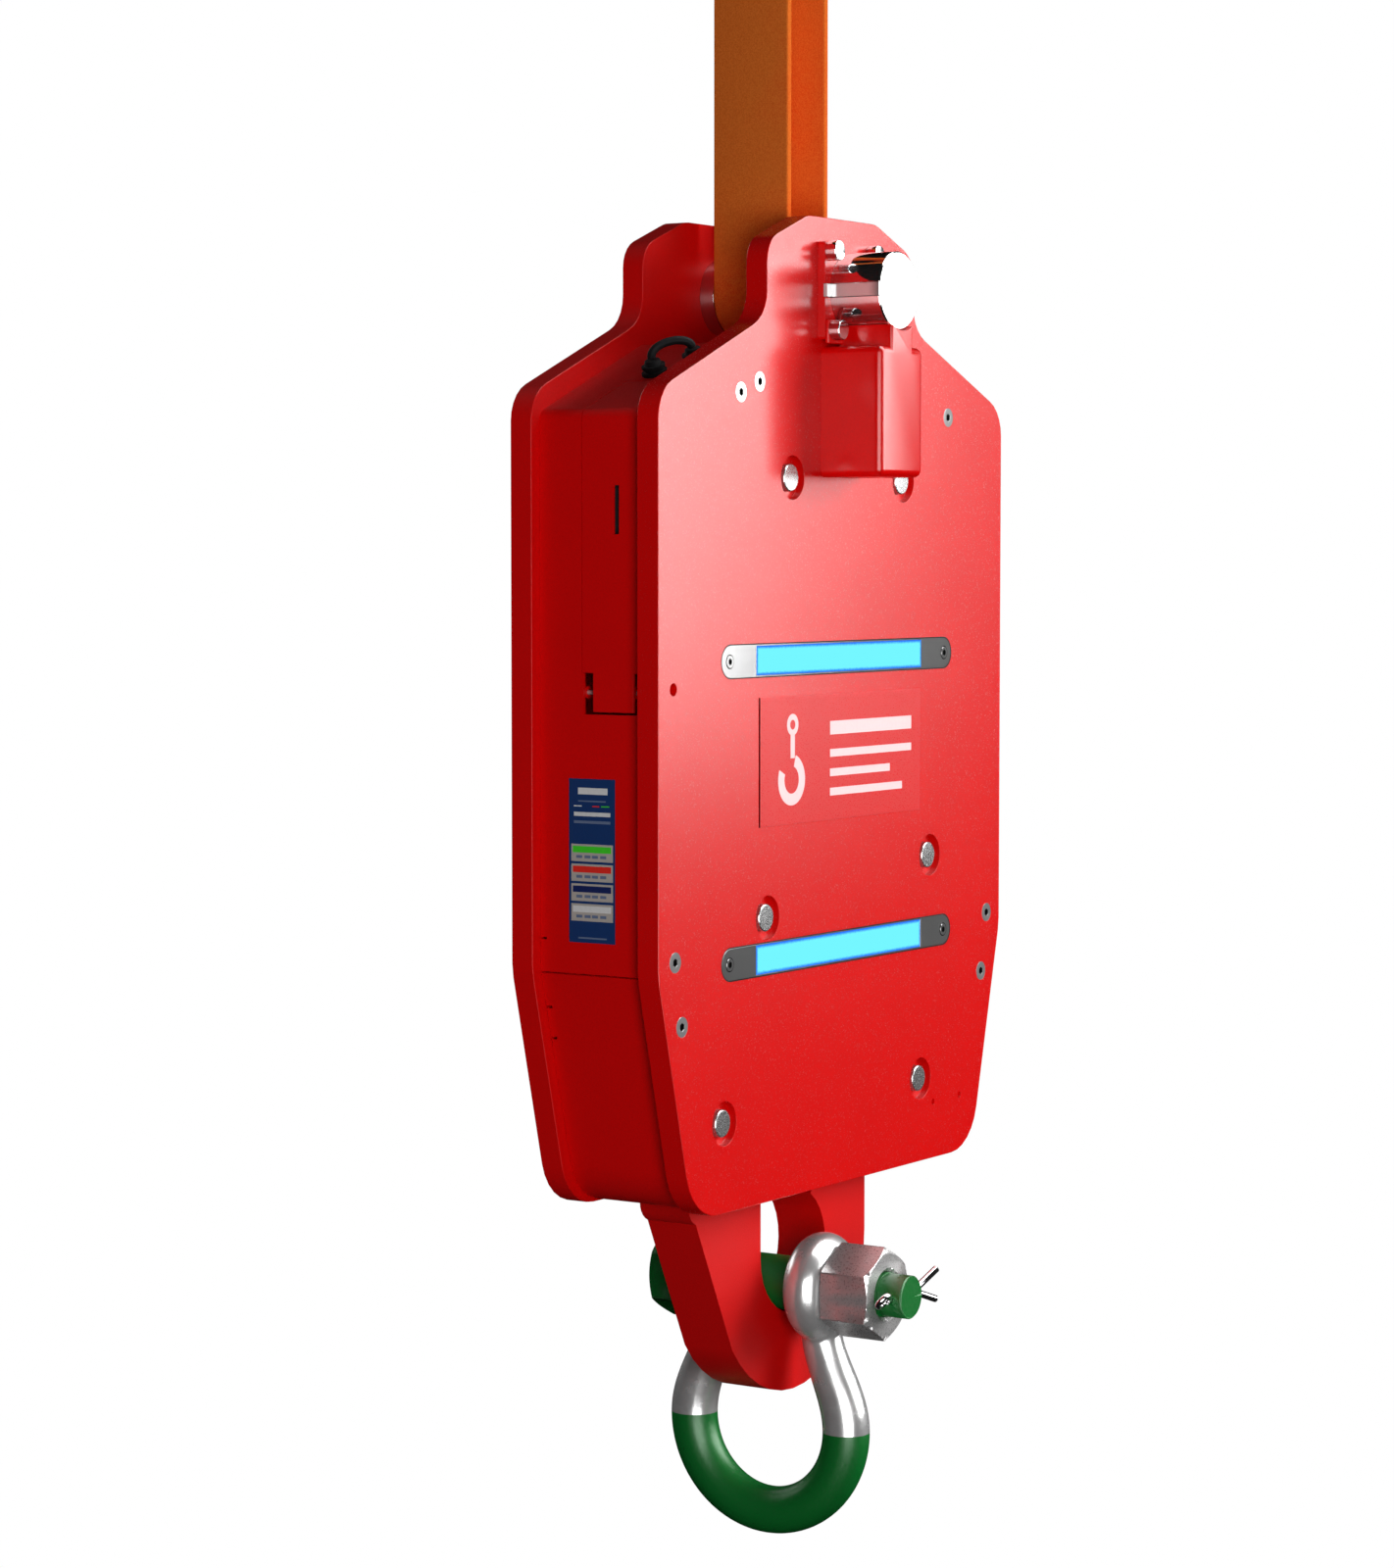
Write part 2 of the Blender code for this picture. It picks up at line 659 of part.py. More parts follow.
def upper_right_casing():
    """Right wall, right roof slope and the flat roof under the sling's lower bight."""
    path = path_points(roof_slope_points(1)) + [Vector((-ROOF_FLAT_HALF + ROOF_JOINT_GAP, ROOF_FLAT_Z))]
    casing = casing_sheet("casing_upper_right", path, -1)
    cut(casing, *edge_notches(1, [-646.3 * MM], CASING_HALF))
    return settle(casing)


def lower_casing(name, side):
    """Tapered lower wall that turns under towards the hook."""
    casing = casing_sheet(name, path_points(lower_wall_points(side)), side)
    wall_x = 313 * MM
    cut(casing, *edge_notches(side, [-715.7 * MM, -747.7 * MM], wall_x))
    if side > 0:
        cut(casing, block("hook_slot", None,
                          (CASING_TOE_X - 9 * MM, -SLOT_HALF_WIDTH, CASING_BOTTOM_Z - MM),
                          (CASING_HALF, SLOT_HALF_WIDTH, SLOT_TOP_Z)))
    return settle(casing)


# ---------------------------------------------------------------- load pin

def load_pin():
    """Stepped load-measuring pin with the sling's seat, a gauge bore and a keyway."""
    chamfer = 1.5 * MM
    bore = GAUGE_BORE_RADIUS
    profile = [(PIN_FRONT_Y, 0), (PIN_FRONT_Y, PIN_RADIUS - chamfer), (PIN_FRONT_Y + chamfer, PIN_RADIUS),
               (-SEAT_HALF, PIN_RADIUS), (-SEAT_HALF, SEAT_RADIUS), (SEAT_HALF, SEAT_RADIUS),
               (SEAT_HALF, PIN_RADIUS), (PIN_BACK_Y - chamfer, PIN_RADIUS),
               (PIN_BACK_Y, PIN_RADIUS - chamfer), (PIN_BACK_Y, bore), (-60 * MM, bore), (-60 * MM, 0)]
    pin = turned("load_pin", "bright_steel", 0, 0, profile, sides=36)
    half = KEY_HALF_HEIGHT + GAP
    cut(pin, block("keyway", None, (-PIN_RADIUS - MM, PIN_FRONT_Y - MM, -half),
                   (-PIN_RADIUS + 6 * MM, -OUTER_HALF - 2 * MM, half)))
    return settle(pin)


def gauge_plug():
    """Plug that closes the pin's gauge bore."""
    start, collar, end = PIN_BACK_Y - 14 * MM, PIN_BACK_Y + GAP, PIN_BACK_Y + 3 * MM
    stem = GAUGE_BORE_RADIUS - GAP
    rim = GAUGE_BORE_RADIUS + 3 * MM
    profile = [(start, 0), (start, stem), (collar, stem), (collar, rim), (end, rim), (end, 0)]
    return settle(turned("gauge_plug", "black_plastic", 0, 0, profile, sides=20))


def flange_places():
    """Centres of the flange's four bolts."""
    offset = FLANGE_BOLT_OFFSET
    return [(-offset, offset), (offset, offset), (-offset, -offset), (offset, -offset)]


def pin_flange():
    """Square flange round the load pin, slotted at the left for the keeper key."""
    half = FLANGE_HALF
    outline = rounded([(x * half, z * half, 4 * MM) for x, z in ((1, 1), (-1, 1), (-1, -1), (1, -1))])
    face = -OUTER_HALF - FLANGE_THICK
    flange = slab("pin_flange", "red_paint", [outline], face, -OUTER_HALF - GAP)
    cut(flange, rod("flange_bore", None, 0, 0, PIN_RADIUS + GAP, face - MM, -OUTER_HALF + MM, sides=36))
    slot = KEY_HALF_HEIGHT + GAP
    cut(flange, block("key_slot", None, (-half - MM, face - MM, -slot), (0, face + 2.5 * MM, slot)))
    for x, z in flange_places():
        cut(flange, rod("bolt_hole", None, x, z, 6.3 * MM, face - MM, -OUTER_HALF + MM, sides=10))
    return settle(flange)


def keeper_key():
    """L-shaped key: its foot in the flange's slot, its leg along the pin's keyway."""
    face = -OUTER_HALF - FLANGE_THICK
    key = block("keeper_key", "bright_steel", (-FLANGE_HALF + GAP, face - 2.5 * MM, -KEY_HALF_HEIGHT),
                (-PIN_RADIUS - 0.7 * MM, face + 2.5 * MM - GAP, KEY_HALF_HEIGHT))
    leg = block("key_leg", None, (-PIN_RADIUS - 0.9 * MM, PIN_FRONT_Y, -KEY_HALF_HEIGHT),
                (-PIN_RADIUS + 6 * MM - GAP, face + 2.5 * MM - GAP, KEY_HALF_HEIGHT))
    join(key, leg)
    return settle(key)


def flange_bolts():
    """Cylinder-head bolts at the flange's corners; the lower two also hold the box's lug."""
    for number, (x, z) in enumerate(flange_places(), start=1):
        seat = -OUTER_HALF - FLANGE_THICK - GAP
        if z < 0:
            seat -= LUG_THICK + GAP
        top = seat - BOLT_HEAD_HEIGHT
        chamfer = 0.6 * MM
        profile = [(top, 0), (top, BOLT_HEAD_RADIUS - chamfer), (top + chamfer, BOLT_HEAD_RADIUS),
                   (seat, BOLT_HEAD_RADIUS), (seat, 6 * MM), (-OUTER_HALF - 2 * GAP, 6 * MM),
                   (-OUTER_HALF - 2 * GAP, 0)]
        settle(turned(f"flange_bolt_{number}", "bright_steel", x, z, profile, sides=16), x, z)


def load_cell_box():
    """Hollow box below the pin, open towards the plate, with a neck and a bolted lug above."""
    back = -OUTER_HALF - GAP
    radius = 8 * MM
    wall = 3 * MM
    box = block("load_cell_box", "red_paint", (-BOX_HALF, BOX_FRONT_Y, BOX_BOTTOM_Z),
                (BOX_HALF, back, BOX_TOP_Z))
    soften(box, radius, 3)
    trim = block("box_back", None, (-BOX_HALF - MM, back - radius - MM, BOX_BOTTOM_Z - MM),
                 (BOX_HALF + MM, back + MM, BOX_TOP_Z + MM))
    cut(box, trim)
    rear = block("box_rear", None, (-BOX_HALF, back - radius - 1.5 * MM, BOX_BOTTOM_Z),
                 (BOX_HALF, back, BOX_TOP_Z))
    lug_face = -OUTER_HALF - FLANGE_THICK - GAP
    neck = block("box_neck", None, (-NECK_HALF, BOX_FRONT_Y, BOX_TOP_Z - 12 * MM),
                 (NECK_HALF, lug_face - MM, NECK_TOP_Z))
    lug = block("box_lug", None, (-FLANGE_HALF, lug_face - LUG_THICK, -FLANGE_HALF - 4 * MM),
                (FLANGE_HALF, lug_face, -30 * MM))
    step = block("box_step", None, (-NECK_HALF, lug_face - LUG_THICK, BOX_TOP_Z - MM),
                 (NECK_HALF, lug_face, -52 * MM))
    join(box, rear, neck, lug, step)
    cut(box, rod("pin_relief", None, 0, 0, PIN_RADIUS + 0.8 * MM, BOX_FRONT_Y - MM, back + MM, sides=36))
    cut(box, block("box_hollow", None, (-BOX_HALF + wall, BOX_FRONT_Y + wall, BOX_BOTTOM_Z + wall),
                   (BOX_HALF - wall, back + MM, BOX_TOP_Z - wall)))
    for x, z in flange_places()[2:]:
        cut(box, rod("lug_hole", None, x, z, 6.3 * MM, lug_face - LUG_THICK - MM, lug_face + MM, sides=10))
    return settle(box)


def load_cell_board():
    """Amplifier board inside the box."""
    board = block("load_cell_board", "circuit_green", (-32 * MM, -112 * MM, -175 * MM),
                  (32 * MM, -109 * MM, -75 * MM))
    return settle(board)


# ---------------------------------------------------------------- hook and its drive

def hook_outline():
    """The hook's closed outline in block coordinates."""
    centre = Vector((0, HOOK_CENTRE_Z))
    pivot = Vector(HOOK_AXIS)
    heel = arc(centre, HOOK_OUTER_RADIUS, 0, -144, 16)
    tip = rounded(in_mm([
        (-203, -944, 22), (-203, -902, 0), (-182, -902, 3), (-182, -875, 3), (-193, -875, 2),
        (-193, -866, 6), (-150, -858, 14), (-92, -858, 14), (-64.9, -885, 16), (-64.9, -960, 0)]))[1:]
    tip = tip[:-1]
    seat = arc(centre, HOOK_SEAT_RADIUS, 180, 418, 20)
    boss = arc(pivot, HOOK_BOSS_RADIUS, 205, -46, 12)
    return heel + tip + seat + boss + [Vector((HOOK_OUTER_RADIUS, -911 * MM))]


def hook():
    """Hook plate with the bore for its bush."""
    piece = slab("hook", "red_paint", [hook_outline()], -HOOK_HALF_THICK, HOOK_HALF_THICK)
    soften(piece, 3.5 * MM, 2)
    cut(piece, rod("hook_bore", None, *HOOK_AXIS, BUSH_RADIUS + GAP, -HOOK_HALF_THICK - MM,
                   HOOK_HALF_THICK + MM, sides=20))
    return settle(piece, *HOOK_AXIS)


def ring(name, finish, axis, outer, inner, near, far, sides=20):
    """Plain ring round a Y axis."""
    x, z = axis
    profile = [(near, outer), (far, outer), (far, inner), (near, inner)]
    return settle(turned(name, finish, x, z, profile, sides=sides, ring=True), x, z)


def hook_bearings():
    """The hook's bush and the spacers that keep it in the middle of its shaft."""
    bore = running_bore(PIVOT_RADIUS, 20)
    ring("hook_bush", "bronze", HOOK_AXIS, BUSH_RADIUS, bore, -HOOK_HALF_THICK, HOOK_HALF_THICK)
    end = CAVITY_HALF - GAP
    ring("hook_spacer_front", "dark_steel", HOOK_AXIS, 40 * MM, bore + GAP, -end, -HOOK_HALF_THICK - MM)
    ring("hook_spacer_back", "dark_steel", HOOK_AXIS, 40 * MM, bore + GAP, GEAR_FAR_Y + MM, end)


def flank(teeth):
    """(radius, half tooth angle) pairs from root to tip of an involute tooth."""
    pitch = teeth * GEAR_MODULE / 2
    base = pitch * math.cos(PRESSURE_ANGLE)
    root = pitch - 1.25 * GEAR_MODULE
    tip = pitch + GEAR_MODULE
    at_pitch = math.pi / (2 * teeth) - BACKLASH / (2 * pitch)
    spread = at_pitch + math.tan(PRESSURE_ANGLE) - PRESSURE_ANGLE
    pairs = []
    for radius in (root, max(base, root + 0.5 * GEAR_MODULE), pitch, tip):
        pressure = math.acos(min(1, base / radius))
        pairs.append((radius, spread - (math.tan(pressure) - pressure)))
    return pairs


def tooth_points(centre, teeth, direction):
    """One tooth's points, counterclockwise, about its direction."""
    pairs = flank(teeth)
    turns = [(radius, direction - half) for radius, half in pairs]
    turns += [(radius, direction + half) for radius, half in reversed(pairs)]
    return [Vector(centre) + turn(Vector((radius, 0)), angle) for radius, angle in turns]


def hook_gear():
    """Toothed sector fixed beside the hook's boss."""
    pitch_angle = 2 * math.pi / SECTOR_TEETH
    first = MESH_DIRECTION - (SECTOR_CUT_TEETH - 3) * pitch_angle
    points = []
    for tooth in range(SECTOR_CUT_TEETH):
        points.extend(tooth_points(HOOK_AXIS, SECTOR_TEETH, first + tooth * pitch_angle))
    last_angle = math.degrees(first + (SECTOR_CUT_TEETH - 1) * pitch_angle)
    points.extend(arc(HOOK_AXIS, SECTOR_HUB_RADIUS, last_angle + 40, math.degrees(first) + 320, 12))
    gear = slab("hook_gear", "dark_steel", [points], GEAR_NEAR_Y, GEAR_FAR_Y)
    cut(gear, rod("gear_bore", None, *HOOK_AXIS, PIVOT_RADIUS + 2 * GAP, GEAR_NEAR_Y - MM, GEAR_FAR_Y + MM))
    return settle(gear, *HOOK_AXIS)


def pinion_axis():
    """Centre of the pinion, one gear distance from the hook's shaft."""
    distance = GEAR_MODULE * (SECTOR_TEETH + PINION_TEETH) / 2
    centre = Vector(HOOK_AXIS) + turn(Vector((distance, 0)), MESH_DIRECTION)
    return centre.x, centre.y


def drive_pinion():
    """Pinion and its stub shaft."""
    centre = pinion_axis()
    pitch_angle = 2 * math.pi / PINION_TEETH
    first = MESH_DIRECTION + math.pi + pitch_angle / 2
    points = []
    for tooth in range(PINION_TEETH):
        points.extend(tooth_points(centre, PINION_TEETH, first + tooth * pitch_angle))
    pinion = slab("drive_pinion", "dark_steel", [points], GEAR_NEAR_Y + MM, GEAR_FAR_Y - MM)
    join(pinion, rod("pinion_shaft", None, *centre, PINION_SHAFT_RADIUS, 12 * MM,
                     GEAR_FAR_Y - 3 * MM, sides=16))
    return settle(pinion, *centre)


def gear_motor():
    """Motor and gearbox on the front plate, bored for the pinion's shaft."""
    near, far = -CAVITY_HALF + GAP, GEAR_NEAR_Y - 2 * MM
    bore = running_bore(PINION_SHAFT_RADIUS, 20)
    foot, motor, gearbox = 50 * MM, 36 * MM, 44 * MM
    foot_y, joint_y, bore_y = near + 6 * MM, -8 * MM, 10 * MM
    profile = [(near, 0), (near, foot), (foot_y, foot), (foot_y, motor), (joint_y, motor),
               (joint_y, gearbox), (far, gearbox), (far, bore), (bore_y, bore), (bore_y, 0)]
    centre = pinion_axis()
    return settle(turned("gear_motor", "black_plastic", *centre, profile, sides=20), *centre)


def lock_pawl():
    """Pawl on its shaft, with a nose for the notch in the hook's tip."""
    x, z = PAWL_AXIS
    hub = arc(PAWL_AXIS, 31 * MM, -62, 228, 20)
    leg = rounded([(x - 22 * MM, z - 60 * MM, 4 * MM), (x - 16 * MM, z - 72 * MM, 4 * MM),
                   (x + 13 * MM, z - 72 * MM, 3 * MM), (x + 13 * MM, z - 57 * MM, 3 * MM),
                   (x - 2 * MM, z - 56 * MM, 0)])
    pawl = slab("lock_pawl", "dark_steel", [hub + leg], -18 * MM, 18 * MM)
    cut(pawl, rod("pawl_bore", None, x, z, running_bore(BAR_RADIUS, 24), -20 * MM, 20 * MM))
    return settle(pawl, x, z)


def pawl_actuator():
    """Rotary actuator round the pawl's shaft."""
    ring("pawl_actuator", "black_plastic", PAWL_AXIS, 36 * MM, BAR_RADIUS + GAP, 20 * MM, CAVITY_HALF - GAP)


# ---------------------------------------------------------------- electrics inside

def battery_pack():
    """Battery behind the door."""
    low, high = Vector((-318, -54, -374)) * MM, Vector((-238, 8, -160)) * MM
    pack = block("battery_pack", "black_plastic", low, high)
    soften(pack, 4 * MM)
    return settle(pack)


def control_box():
    """Controller case with its lid, and the board inside."""
    low, high = Vector((70, -46, -520)) * MM, Vector((290, 40, -260)) * MM
    case = block("control_case", "black_plastic", low, high)
    wall = Vector((4, 4, 4)) * MM
    hollow_high = high - wall
    hollow_high.y = high.y + MM
    cut(case, block("case_hollow", None, low + wall, hollow_high))
    settle(case)
    settle(block("control_lid", "black_plastic", (low.x, high.y + GAP, low.z),
                 (high.x, high.y + 5 * MM, high.z)))
    board_high = high - 3 * wall
    board_high.y = low.y + 14 * MM
    settle(block("control_board", "circuit_green", low + 3 * wall, board_high))


def roof_point(x):
    """Height of the left roof slope's outer face at x."""
    return ROOF_CORNER_Z + math.tan(ROOF_SLOPE) * (CASING_HALF + x)


def roof_gland(name, x, y):
    """Ribbed rubber gland standing on the roof slope."""
    profile = in_mm([(0, 0), (0, 13), (4, 13), (4, 10), (7, 10), (7, 12), (10, 12), (10, 9),
                     (15, 7.5), (15, 0)])
    gland = turned(name, "black_rubber", 0, 0, profile, sides=14)
    upright = Matrix.Rotation(math.pi / 2, 4, "X")
    lean = Matrix.Rotation(-ROOF_SLOPE, 4, "Y")
    foot = Matrix.Translation((x, y, roof_point(x) + 0.5 * MM))
    gland.data.transform(foot @ lean @ upright)
    return settle(gland, x, roof_point(x), y)


def gland_top(x, y, height):
    """Point above a gland's foot along the roof's normal."""
    return Vector((x - height * math.sin(ROOF_SLOPE), y, roof_point(x) + height * math.cos(ROOF_SLOPE)))


def gauge_cable():
    """The two roof glands and the short cable looped from one to the other."""
    for number, (x, y) in enumerate(ROOF_GLANDS, start=1):
        roof_gland(f"roof_gland_{number}", x, y)
    start, stop = (gland_top(x, y, 16.6 * MM) for x, y in ROOF_GLANDS)
    start_lift, stop_lift = (gland_top(x, y, 28 * MM) for x, y in ROOF_GLANDS)
    crest = (start + stop) / 2 + Vector((-4, 6, 14)) * MM
    route = [start, start_lift, crest, stop_lift, stop]
    points = []
    for step in range(17):
        along = step / 16
        weights = [math.comb(4, k) * along ** k * (1 - along) ** (4 - k) for k in range(5)]
        points.append(sum((weight * point for weight, point in zip(weights, route)), Vector((0, 0, 0))))
    return settle(tube("gauge_cable", "black_rubber", points, 4.5 * MM))


# ---------------------------------------------------------------- sling and shackle

def webbing_sling():
    """Endless flat sling: lower bight on the load pin, upper bight at the origin."""
    top_z = -LOAD_PIN.z - SLING_INNER_RADIUS

    def loop(radius):
        """Stadium round the load pin and the upper bight."""
        return arc((0, 0), radius, 180, 360, 16) + arc((0, top_z), radius, 0, 180, 16)

    inner = loop(SLING_INNER_RADIUS)
    outer = loop(SLING_INNER_RADIUS + SLING_THICK)
    sling = slab("webbing_sling", "orange_webbing", [outer, inner], -SLING_HALF_WIDTH, SLING_HALF_WIDTH)
    settle(sling)
    sling.data.transform(Matrix.Translation(LOAD_PIN))
    sling.location = (0, 0, 0)
    return sling


def bow_path():
    """Centre line of the bow from one eye round the crown to the other, and its swell."""
    x, z = SHACKLE_AXIS
    eye_y = (EYE_NEAR + EYE_FAR) / 2 - MM
    leg = []
    swell = []
    for step in range(LEG_STEPS):
        drop = BOW_LEG_START + (BOW_CROWN_DROP - BOW_LEG_START) * step / LEG_STEPS
        along = max(0, (drop - BOW_FLARE_START) / (BOW_CROWN_DROP - BOW_FLARE_START))
        ease = (1 - math.cos(math.pi * along)) / 2
        leg.append(Vector((x, eye_y + (BOW_CROWN_RADIUS - eye_y) * ease, z - drop)))
        swell.append(BOW_NECK_SCALE + (1 - BOW_NECK_SCALE) * ease)
    crown = [Vector((x, point.x, point.y))
             for point in arc((0, z - BOW_CROWN_DROP), BOW_CROWN_RADIUS, 0, -180, 16)]
    far_leg = [Vector((point.x, -point.y, point.z)) for point in reversed(leg)]
    return leg + crown + far_leg, swell + [1] * len(crown) + swell[::-1]


def shackle_eye(name, side):
    """Rounded eye at one end of the bow."""
    middle = side * (EYE_NEAR + EYE_FAR) / 2
    half = (EYE_FAR - EYE_NEAR) / 2
    core = EYE_RADIUS - half
    angles = [math.pi * (step / 6 - 0.5) for step in range(7)]
    rim = [(middle + half * math.sin(angle), core + half * math.cos(angle)) for angle in angles]
    return turned(name, None, *SHACKLE_AXIS, [(rim[0][0], 0), *rim, (rim[-1][0], 0)], sides=24)


def shackle_bow():
    """Bow with its two eyes, bored for the pin."""
    x, z = SHACKLE_AXIS
    path, swell = bow_path()
    bow = tube("shackle_bow", "galvanised", path, BOW_TUBE_RADIUS, resolution=5, swell=swell)
    join(bow, shackle_eye("eye_front", -1), shackle_eye("eye_back", 1))
    cut(bow, rod("jaw", None, x, z, EYE_RADIUS + 4 * MM, -EYE_NEAR, EYE_NEAR, sides=24))
    cut(bow, rod("eye_bore", None, x, z, running_bore(SHACKLE_PIN_RADIUS, 24), -EYE_FAR - MM,
                  EYE_FAR + MM, sides=24))
    return settle(bow, x, z)


def shackle_pin():
    """Bolt-type pin: hexagon head at the back, plain stub at the front, drilled for the cotter."""
    x, z = SHACKLE_AXIS
    head_near, head_far = EYE_FAR + GAP, EYE_FAR + HEAD_THICK
    end = PIN_STUB_END
    profile = [(end, 0), (end, PIN_STUB_RADIUS - 1.5 * MM), (end + 1.5 * MM, PIN_STUB_RADIUS),
               (-EYE_FAR - NUT_THICK, PIN_STUB_RADIUS), (-EYE_FAR - NUT_THICK, 24 * MM),
               (-EYE_FAR, 24 * MM), (-EYE_FAR, SHACKLE_PIN_RADIUS), (head_far - 4 * MM, SHACKLE_PIN_RADIUS),
               (head_far - 4 * MM, 0)]
    pin = turned("shackle_pin", "green_paint", x, z, profile, sides=24)
    head = rod("pin_head", None, x, z, NUT_ACROSS_CORNERS / 2, head_near, head_far,
               sides=6, twist=math.pi / 6)
    join(pin, head)
    hole = rod("cotter_hole", None, 0, 0, COTTER_RADIUS + GAP, -30 * MM, 30 * MM, sides=12)
    hole.data.transform(Matrix.Translation((x, COTTER_Y, z)) @ Matrix.Rotation(math.pi / 2, 4, "Z"))
    cut(pin, hole)
    return settle(pin, x, z)


def shackle_nut():
    """Hexagon nut with a turned chamfer on its outer face."""
    x, z = SHACKLE_AXIS
    near, far = -EYE_FAR - NUT_THICK, -EYE_FAR - GAP
    nut = rod("shackle_nut", "galvanised", x, z, NUT_ACROSS_CORNERS / 2, near, far,
              sides=6, twist=math.pi / 6)
    flat = NUT_ACROSS_CORNERS / 2 * math.cos(math.pi / 6)
    envelope = turned("nut_chamfer", None, x, z, [
        (near, 0), (near, flat), (near + 5 * MM, NUT_ACROSS_CORNERS / 2 + 1.5 * MM),
        (far - 2 * MM, NUT_ACROSS_CORNERS / 2 + 1.5 * MM), (far, NUT_ACROSS_CORNERS / 2 - MM), (far, 0)])
    combine(nut, envelope, "INTERSECT")
    cut(nut, rod("nut_bore", None, x, z, 24 * MM + GAP, near - MM, far + MM, sides=24))
    return settle(nut, x, z)


def shackle_cotter():
    """Split pin: a tilted ring at the left and two bent prongs at the right."""
    x, z = SHACKLE_AXIS
    y = COTTER_Y
    prong = 2.6 * MM
    cotter = tube("shackle_cotter", "galvanised", [(-28 * MM, y, z), (33 * MM, y, z)], COTTER_RADIUS)
    ring_points = []
    for step in range(12):
        angle = math.radians(30 * step + 6)
        across = 8 * MM * math.sin(angle)
        ring_points.append((-34 * MM + 8 * MM * math.cos(angle), y - across * math.cos(COTTER_TILT),
                            z + across * math.sin(COTTER_TILT)))
    upper = tube("prong_up", None, [(26 * MM, y, z + MM), (35 * MM, y - MM, z + 4 * MM),
                                    (61 * MM, y - 9 * MM, z + 20 * MM)], prong)
    lower = tube("prong_out", None, [(26 * MM, y, z - MM), (35 * MM, y - MM, z - 2 * MM),
                                     (61 * MM, y - 8 * MM, z - 12 * MM)], prong)
    eye = tube("cotter_eye", None, ring_points, 3 * MM)
    join(cotter, upper, lower, eye)
    return settle(cotter, x, z)


def build():
    """Make every piece of the hook block."""
    front_plate()
    settle(side_plate("back_plate", OUTER_HALF, -1))
    plate_screws()
    through_bars()
    for height_name in LIGHT_HEIGHTS:
        light_bar("front", height_name, -OUTER_HALF, 1)
        light_bar("back", height_name, OUTER_HALF, -1)
    upper_left_casing()
    upper_right_casing()
    lower_casing("casing_lower_left", -1)
    lower_casing("casing_lower_right", 1)
    battery_door()
    door_hinge_pin()
    load_pin()
    gauge_plug()
    pin_flange()
    keeper_key()
    flange_bolts()
    load_cell_box()
    load_cell_board()
    hook()
    hook_bearings()
    hook_gear()
    drive_pinion()
    gear_motor()
    lock_pawl()
    pawl_actuator()
    battery_pack()
    control_box()
    gauge_cable()
    webbing_sling()
    shackle_bow()
    shackle_pin()
    shackle_nut()
    shackle_cotter()


build()
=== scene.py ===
"""Looks for the crane hook block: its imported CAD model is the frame, and this script dresses it.

Every place comes from the frame, in metres, in the CAD's own axes: X right along the side plates,
Y from the front plate to the back plate, Z up, and the origin in the sling's upper bight.
"""

import math

import bmesh
import bpy
from mathutils import Matrix, Vector


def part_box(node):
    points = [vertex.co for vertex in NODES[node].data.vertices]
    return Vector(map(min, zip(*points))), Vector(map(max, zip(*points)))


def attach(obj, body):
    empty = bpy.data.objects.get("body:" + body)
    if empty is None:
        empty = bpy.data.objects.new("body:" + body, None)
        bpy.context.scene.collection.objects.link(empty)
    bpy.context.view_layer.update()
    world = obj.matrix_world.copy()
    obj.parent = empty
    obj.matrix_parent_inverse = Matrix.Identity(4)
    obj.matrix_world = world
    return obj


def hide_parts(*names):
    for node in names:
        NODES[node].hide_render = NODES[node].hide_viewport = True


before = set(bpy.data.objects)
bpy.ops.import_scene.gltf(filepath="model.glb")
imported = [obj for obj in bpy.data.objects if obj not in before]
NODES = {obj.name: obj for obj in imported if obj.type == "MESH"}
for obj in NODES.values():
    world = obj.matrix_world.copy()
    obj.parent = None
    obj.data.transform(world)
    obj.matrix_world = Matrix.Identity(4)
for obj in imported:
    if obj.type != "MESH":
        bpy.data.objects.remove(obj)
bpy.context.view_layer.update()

MM = 0.001
GAP = 0.3 * MM

# Places that the frame gives.
PIN_LOW, PIN_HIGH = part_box("load_pin")
NUT_LOW, NUT_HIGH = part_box("shackle_nut")
FRONT_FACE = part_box("front_plate")[0].y
BACK_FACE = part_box("back_plate")[1].y
PIN_Z = (PIN_LOW.z + PIN_HIGH.z) / 2
SHACKLE_Z = ((NUT_LOW + NUT_HIGH) / 2).z
WALL_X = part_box("casing_upper_left")[0].x

# Plates, casing and load-cell box.
SHEET_EDGE = 0.5 * MM
PLATE_DIMPLES = ((195.9 * MM, -1211.3 * MM), (253.9 * MM, -1210.7 * MM))
DIMPLE_RADIUS = 3.4 * MM
DIMPLE_DEPTH = 7 * MM
BOX_HALF = 43.5 * MM
BOX_TOP = PIN_Z - 56.5 * MM
BOX_EDGE = 8 * MM
BOX_WALL = 3 * MM
BOX_NECK_HALF = 21.5 * MM
BOX_NECK_TOP = PIN_Z - 33 * MM
LUG_HALF = 50 * MM
LUG_THICK = 4 * MM
LUG_LOW = PIN_Z - 54 * MM
LUG_HIGH = PIN_Z - 30 * MM
RELIEF_RADIUS = 40.8 * MM

# Bars, pin and fasteners.
BAR_END_RADIUS = 14 * MM
BAR_SHOULDER = -FRONT_FACE - 25.3 * MM
BAR_CHAMFER = 1 * MM
PIN_SEAT_RADIUS = 31.3 * MM
PIN_SEAT_HALF = 45.6 * MM
PIN_BORE_RADIUS = 9 * MM
PIN_BORE_DEPTH = 35 * MM
PIN_CHAMFER = 1.6 * MM
SOCKET_RADIUS = 4.2 * MM
SOCKET_DEPTH = 4 * MM
BOLT_HEAD_THICK = 12 * MM
BOLT_SHANK_RADIUS = 6 * MM

# Light bars.
END_SCREW_INSET = 15 * MM
END_SCREW_RADIUS = 6.4 * MM
END_SCREW_PROUD = 0.5 * MM
# Black ring round each light bar: painted shade of the gap round it.
GAP_SHADE_WIDTH = 1.1 * MM
GAP_SHADE_PROUD = 0.15 * MM

